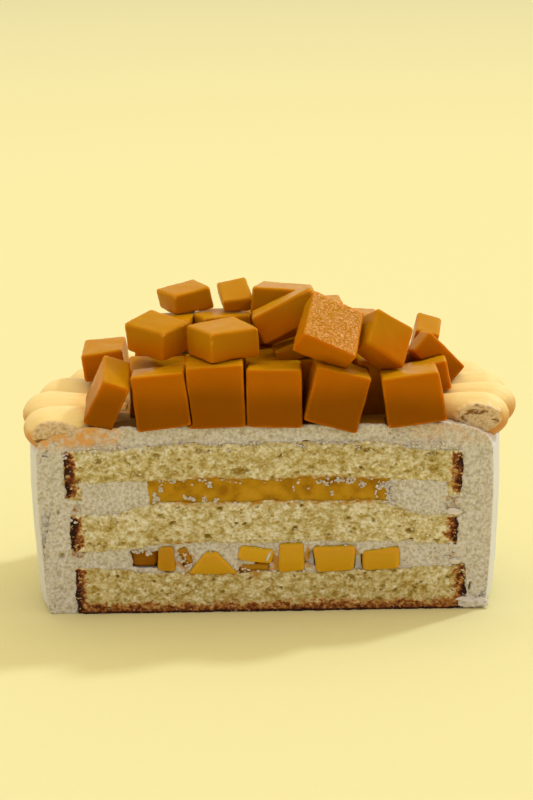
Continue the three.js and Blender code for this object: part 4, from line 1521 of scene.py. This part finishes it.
@dataclass
class MangoHeap:
    """The pieces of mango on top and in the lower cream, each a little uneven."""

    on_top: int = 41
    in_filling: int = 9
    voxel: float = 0.5
    fine_voxel: float = 0.27
    wave: float = 5.5  # width of the waves that the knife leaves
    wave_depth: float = 0.16
    # painted light: higher pieces, faces that look up and the band under each top are paler, and
    # convex edges carry a painted highlight
    painted_light_heights: tuple[float, float] = (68.0, 86.0)
    high_painted_light: float = 0.34  # painted light on the highest pieces
    filling_tone: float = 0.4
    # painted light on faces that look up
    top_painted_light: float = 0.74
    upper_band: tuple[float, float] = (13.0, 2.5)  # below a piece's top, where painted light pales it
    upper_painted_light: float = 0.42
    edge_painted_highlight: float = 0.32
    edge_convexity: tuple[float, float] = (0.02, 0.1)  # where the painted edge highlight starts and is full, in millimetres on the mesh's grid
    grainy: int = 30  # the piece that shows its grainy side, tipped to the front
    grain_turn: float = 41.0
    grain_size: float = 0.55
    grain_depth: float = 0.1
    # the first piece's darkness is partly painted shade of its recess
    # how dark each piece of the filling is, from the left, with the low thin one last
    filling_darkness_and_shade: tuple[float, ...] = (0.75, 0.35, 0.5, 0.1, 0.0, 0.05, 0.1, 0.1, 0.4)

    def build(self, nodes: Nodes) -> list[Piece]:
        """Models every piece over its node.

        Args:
            nodes: the frame's CAD nodes.

        Returns:
            The finished pieces.
        """
        made = []
        for number in range(1, self.on_top + 1):
            made.append(self.build_piece(nodes, f"mango_{number:02d}", number, 0.0))
        for number, shade in enumerate(self.filling_darkness_and_shade, 1):
            made.append(self.build_piece(nodes, f"filling_mango_{number}", 50 + number, shade))
        return made

    def build_piece(self, nodes: Nodes, node: str, number: int, shade: float) -> Piece:
        """Models one piece.

        Args:
            nodes: the frame's CAD nodes.
            node: the piece's node.
            number: a number that no other piece has.
            shade: how dark it is, partly painted shade.

        Returns:
            The finished piece.
        """
        piece = copy_of_node(nodes[node], node + "_flesh")
        voxel = self.fine_voxel if number == self.grainy else self.voxel
        apply_modifier(piece, "REMESH", mode="VOXEL", voxel_size=voxel * MM)
        apply_modifier(piece, "SMOOTH", factor=0.5, iterations=1)
        points, normals = points_of(piece), normals_of(piece)
        waves = noise_at(points, self.wave, 2, number * 1.3)
        points += normals * (self.wave_depth * waves)[:, None]
        speck = np.zeros(len(points))
        if number == self.grainy:
            speck = self.add_grain(points, normals)
        put_points(piece, points)
        store(piece, "speck", speck)
        store(piece, "shade", np.full(len(points), shade))
        in_filling = number > self.on_top
        tone = self.filling_tone if in_filling else None
        # painted light and the painted edge highlight, for the finish
        store(piece, "painted_light", self.light_on(piece, normals, tone))
        finish_piece(piece, FILLING_MANGO if in_filling else MangoFinish(), Slot.MANGO, node)
        return piece

    def light_on(self, piece: Piece, normals: np.ndarray, tone: float | None) -> np.ndarray:
        """Painted light on the flesh: paler higher in the heap, on faces that look up and near the
        top, with a painted highlight along its edges.

        Args:
            piece: the piece of mango.
            normals: its normals.
            tone: the tone of its middle, or None to paint its light from its height in the heap.

        Returns:
            For each vertex, 0 in the deepest painted shade to 1 in the palest painted light.
        """
        points = points_of(piece)
        top = points[:, 2].max()
        if tone is None:
            tone = self.high_painted_light * float(smoothstep(points[:, 2].mean(), *self.painted_light_heights))
        start, end = self.upper_band
        upper = smoothstep(points[:, 2], top - start, top - end)
        edge = smoothstep(convexity_of(piece), *self.edge_convexity)
        facing_up = smoothstep(normals[:, 2], 0.3, 0.9)
        painted_light = tone + self.upper_painted_light * upper + self.edge_painted_highlight * edge
        return np.clip(painted_light + (self.top_painted_light - painted_light) * facing_up, 0, 1)

    def add_grain(self, points: np.ndarray, normals: np.ndarray) -> np.ndarray:
        """Raises the grainy side of one piece.

        Args:
            points: its vertices, moved in place.
            normals: their normals.

        Returns:
            How pale each vertex is.
        """
        tip = math.radians(self.grain_turn)
        facing = -math.sin(tip) * normals[:, 1] + math.cos(tip) * normals[:, 2]
        on_side = smoothstep(facing, 0.8, 0.93)
        grain = noise_at(points, self.grain_size, 2, 1.7)
        points += normals * (on_side * self.grain_depth * grain)[:, None]
        return on_side * (0.3 + 0.45 * smoothstep(grain, -0.3, 0.4))


# Studio


@dataclass
class Studio:
    """Floor, light and camera."""

    floor_width: float = 12.0  # metres
    sun_from: Triple = (0.8, 0.6, 1.04)
    sun_strength: float = 1.35
    sun_softness: float = 5.0  # degrees
    sun_colour: str = "#e4f2ff"
    sky_colour: str = "#fff7ed"
    sky_strength: float = 0.81
    glow_colour: str = "#fff395"
    glow_power: float = 20.0
    glow_width: float = 2.2  # metres
    glow_at: Triple = (0.1, 0.5, 2.2)
    target: Triple = (0.8, -25.0, 68.6)
    distance: float = 700.0
    pitch: float = 14.3
    roll: float = -0.9
    focal_pixels: float = 2275.0
    long_side_pixels: float = 800.0
    sensor: float = 36.0

    def build(self) -> None:
        """Makes the floor, the lights and the camera."""
        self.make_floor()
        self.make_lights()
        self.make_camera()
        view = bpy.context.scene.view_settings
        view.view_transform = "Standard"
        view.look = "None"

    def make_floor(self) -> None:
        """Lays the paper that the cake stands on."""
        bpy.ops.object.select_all(action="DESELECT")
        bpy.ops.mesh.primitive_plane_add(size=self.floor_width)
        floor = bpy.context.object
        floor.name = "floor"
        floor.data.materials.append(FloorFinish().material())

    def make_lights(self) -> None:
        """Sets a cool sun behind on the right, a pale sky and a warm glow overhead."""
        sun = bpy.data.lights.new("sun", "SUN")
        sun.energy = self.sun_strength
        sun.angle = math.radians(self.sun_softness)
        sun.color = linear(self.sun_colour)[:3]
        lamp = bpy.data.objects.new("sun", sun)
        lamp.rotation_euler = Vector(self.sun_from).to_track_quat("Z", "Y").to_euler()
        bpy.context.scene.collection.objects.link(lamp)

        glow = bpy.data.lights.new("glow", "AREA")
        glow.energy = self.glow_power
        glow.size = self.glow_width
        glow.color = linear(self.glow_colour)[:3]
        lamp = bpy.data.objects.new("glow", glow)
        lamp.location = self.glow_at
        lamp.rotation_euler = Vector(self.glow_at).to_track_quat("Z", "Y").to_euler()
        bpy.context.scene.collection.objects.link(lamp)

        world = bpy.data.worlds.new("sky")
        bpy.context.scene.world = world
        world.use_nodes = True
        sky = world.node_tree.nodes["Background"]
        sky.inputs["Color"].default_value = linear(self.sky_colour)
        sky.inputs["Strength"].default_value = self.sky_strength

    def make_camera(self) -> None:
        """Stands the camera where the photograph was taken from."""
        pitch, roll = math.radians(self.pitch), math.radians(self.roll)
        back = Vector((0, -math.cos(pitch), math.sin(pitch)))
        level = Vector((1, 0, 0))
        up = back.cross(level)
        right = level * math.cos(roll) + up * math.sin(roll)
        top = -level * math.sin(roll) + up * math.cos(roll)
        turn = Matrix((right, top, back)).transposed().to_4x4()
        place = (Vector(self.target) + back * self.distance) * MM
        data = bpy.data.cameras.new("camera")
        data.sensor_width = self.sensor
        data.lens = self.focal_pixels * self.sensor / self.long_side_pixels
        camera = bpy.data.objects.new("camera", data)
        camera.matrix_world = Matrix.Translation(place) @ turn
        bpy.context.scene.collection.objects.link(camera)
        bpy.context.scene.camera = camera


def layers() -> list[CutLayer]:
    """The sponges, creams and curd, from the bottom up, and the coat."""
    return [
        SpongeLayer(
            "sponge_bottom",
            "sponge_bottom_crumb",
            seed=11,
            radius=65.6,
            middle_x=1.2,
            base_crust=5.0,
            # painted darker, partly painted shade at the bottom
            darker_tone_and_shade=0.15,
            pits=(Pit(36.2, 8, 2.4, 1.2, 0.8),),
            soaks=(Soak(-28, -8, True, 1.4), Soak(-8, 0, True, 3.6)),
        ),
        SpongeLayer(
            "sponge_middle",
            "sponge_middle_crumb",
            seed=18,
            radius=65.0,
            middle_x=-0.6,
            darker_tone_and_shade=0.03,
            pits=(Pit(45, 26, 3.4, 2.0, 1.2), Pit(44.4, 22.4, 4.4, 1.0, 1.6, 33)),
            soaks=(Soak(-34, 39, True, 2.0), Soak(-36, -20, False, 1.6)),
        ),
        SpongeLayer(
            "sponge_top",
            "sponge_top_crumb",
            seed=25,
            radius=66.4,
            middle_x=-0.5,
            pits=(
                Pit(-7.8, 46, 6, 2.5, 1.0),
                Pit(-33.4, 51.6, 2.6, 1.6, 0.9),
                Pit(31.7, 52.1, 2.8, 1.3, 0.8, 15),
                Pit(52.7, 50.8, 2.4, 1.2, 0.8),
            ),
            soaks=(Soak(-32, 39, False, 1.5),),
        ),
        CurdLayer("curd", "curd_band", seed=32),
        CreamLayer("cream_upper", "cream_upper_cut", seed=39),
        CreamLayer(
            "cream_lower",
            "cream_lower_cut",
            seed=46,
            spread=0.6,
            least_spread=0.3,
            stains=(
                Pit(-39.5, 19.6, 6.5, 2.8),
                Pit(-25.6, 16.5, 7.0, 8.0),
                Pit(-17.0, 12.4, 20.0, 3.0),
                Pit(-3.2, 13.8, 13.0, 4.0),
                Pit(2.8, 16.4, 3.4, 8.0),
                Pit(13.4, 17.5, 3.4, 8.0),
                Pit(28.4, 17.0, 3.4, 7.0),
            ),
        ),
        CoatLayer(
            "cream_coat",
            "cream_coat_cut",
            seed=53,
            pits=(
                Pit(-64.7, 33.3, 1.2, 2.0, 1.0),
                Pit(-64.0, 19.2, 2.2, 2.4, 1.1),
                Pit(-65.2, 13.0, 1.6, 2.6, 0.7, 20),
                Pit(-64.4, 8.6, 0.9, 3.0, 0.5, 10),
                Pit(-66.8, 2.8, 1.2, 2.2, 0.6),
                Pit(61.8, 36.1, 1.3, 1.8, 0.6),
                Pit(61.5, 31.6, 1.3, 1.8, 0.6),
                Pit(66.1, 34.8, 1.2, 1.4, 0.5),
                Pit(67.4, 28.9, 0.8, 1.6, 0.5),
                Pit(64.0, 25.3, 1.4, 1.2, 0.5),
                Pit(66.8, 25.3, 1.0, 1.4, 0.5),
                Pit(63.8, 7.2, 0.7, 3.2, 2.6, -12),
                Pit(12.8, 55.0, 2.6, 1.3, 1.1),
            ),
        ),
    ]


def crumbs() -> list[Crumbs]:
    """What the knife left on the cut face: smears of cream, crumbs and bits of crust."""
    cream = Crumbs(
        "cream_flecks",
        Slot.CREAM,
        CreamFinish(),
        seed=5,
        size=(0.45, 1.2),
        values={"pore": -0.4, "cut": 0.3, "peach": 0.14, "juice": 0.0},
        lumps=(
            Fleck(63.2, 2.4, 6.6, 3.2, -5, 0.8),
            Fleck(66.6, 2.2, 4.6, 3.0, -10, 0.8),
            Fleck(61.6, 1.9, 3.4, 2.2, 10, 0.7),
            Fleck(68.2, 1.5, 2.8, 2.0, -20, 0.7),
            Fleck(58.2, 31.9, 5.0, 2.0, 0, 0.6),
            Fleck(58.9, 15.6, 4.0, 1.6, 0, 0.6),
            Fleck(0.7, 18.3, 3.0, 0.8, 62, 0.4, 0.8),
        ),
        smears=(
            Fleck(-29.2, 43.1, 2.6, 1.5, -15),
            Fleck(-32.4, 40.4, 2.0, 1.7, 20),
            Fleck(-23.8, 37.5, 3.6, 1.5, -28),
            Fleck(-17.2, 41.3, 0.8, 2.6),
            Fleck(-18.8, 37.1, 1.2, 2.6, 12),
            Fleck(-15.4, 36.4, 1.5, 1.8),
            Fleck(8.9, 39.9, 0.6, 2.2, 8),
            Fleck(13.3, 39.8, 0.5, 1.5, -10),
            Fleck(17.8, 41.8, 4.2, 1.5, -18),
            Fleck(20.9, 38.6, 0.7, 3.0, -8),
            Fleck(23.0, 42.5, 3.4, 1.5, 6),
            Fleck(26.5, 42.4, 3.0, 1.7, 24),
            Fleck(30.2, 40.8, 2.2, 2.2, -20),
            Fleck(35.6, 40.3, 2.0, 1.8, 0),
            Fleck(34.4, 37.8, 0.6, 2.4, 6),
            Fleck(36.5, 41.6, 0.6, 2.0, -6),
            Fleck(38.5, 39.6, 3.2, 5.0, 0),
            Fleck(38.9, 35.6, 2.4, 4.4, 10),
            Fleck(-33.9, 37.2, 2.6, 4.6, 14),
            Fleck(-39.6, 20.4, 4.4, 1.4, 0),
            Fleck(-36.9, 19.6, 2.2, 1.8, -20),
            Fleck(-26.4, 18.0, 2.6, 3.0, -40),
            Fleck(-24.6, 15.4, 2.2, 2.2, 0),
        ),
        patches=(
            Patch(2, 42.6, 70, 1.6, 40),
            Patch(2, 35.2, 72, 1.2, 26),
            Patch(0, 53.8, 112, 2.6, 300),
            Patch(-60, 52.0, 5, 3, 22),
            Patch(60, 50, 5, 3, 8),
            Patch(0, 21, 86, 3, 34),
            Patch(0, 13.6, 86, 1.4, 24),
            Patch(-60, 31, 5, 6, 9),
            Patch(57, 17, 5, 5, 8),
        ),
    )
    pale = Crumbs(
        "pale_crumbs",
        Slot.SPONGE,
        SpongeFinish(),
        seed=6,
        size=(0.4, 1.1),
        values={"pore": 0.02, "crust": 0.0, "soaked": 0.0},
        patches=(
            Patch(0, 49.5, 112, 9, 330),
            Patch(0, 28.5, 112, 9, 300),
            Patch(1, 8.6, 116, 9, 300),
            Patch(2, 34.5, 80, 1.6, 30),
        ),
    )
    baked = Crumbs(
        "baked_crumbs",
        Slot.SPONGE,
        SpongeFinish(),
        seed=7,
        size=(0.4, 1.1),
        values={"pore": 0.3, "crust": 0.3, "soaked": 0.0},
        patches=(
            Patch(-60.0, 44, 5.4, 14, 46),
            Patch(-59.0, 34.3, 2.6, 2.4, 10),
            Patch(-58.4, 24, 4.4, 11, 34),
            Patch(-57.6, 8, 3.6, 13, 34),
            Patch(59.4, 45, 4.0, 13, 34),
            Patch(58.4, 34.3, 4.2, 4.6, 14),
            Patch(57.8, 25.6, 4.2, 9, 30),
            Patch(58.0, 17.5, 1.6, 4.6, 8),
            Patch(60.6, 8, 4.6, 12, 34),
            Patch(0, 2.6, 112, 3.4, 150),
        ),
    )
    return [cream, pale, baked]


def main() -> None:
    """Loads the frame, builds and dresses each piece, and sets the studio up."""
    logging.basicConfig(level=logging.INFO, format="%(message)s", stream=sys.stdout)
    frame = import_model()
    nodes = frame["nodes"]
    for layer in layers():
        layer.build(nodes)
    for lumps in crumbs():
        lumps.build()
    PipedBorder().build(nodes)
    MangoHeap().build(nodes)
    Studio().build()


if __name__ == "__main__":
    main()
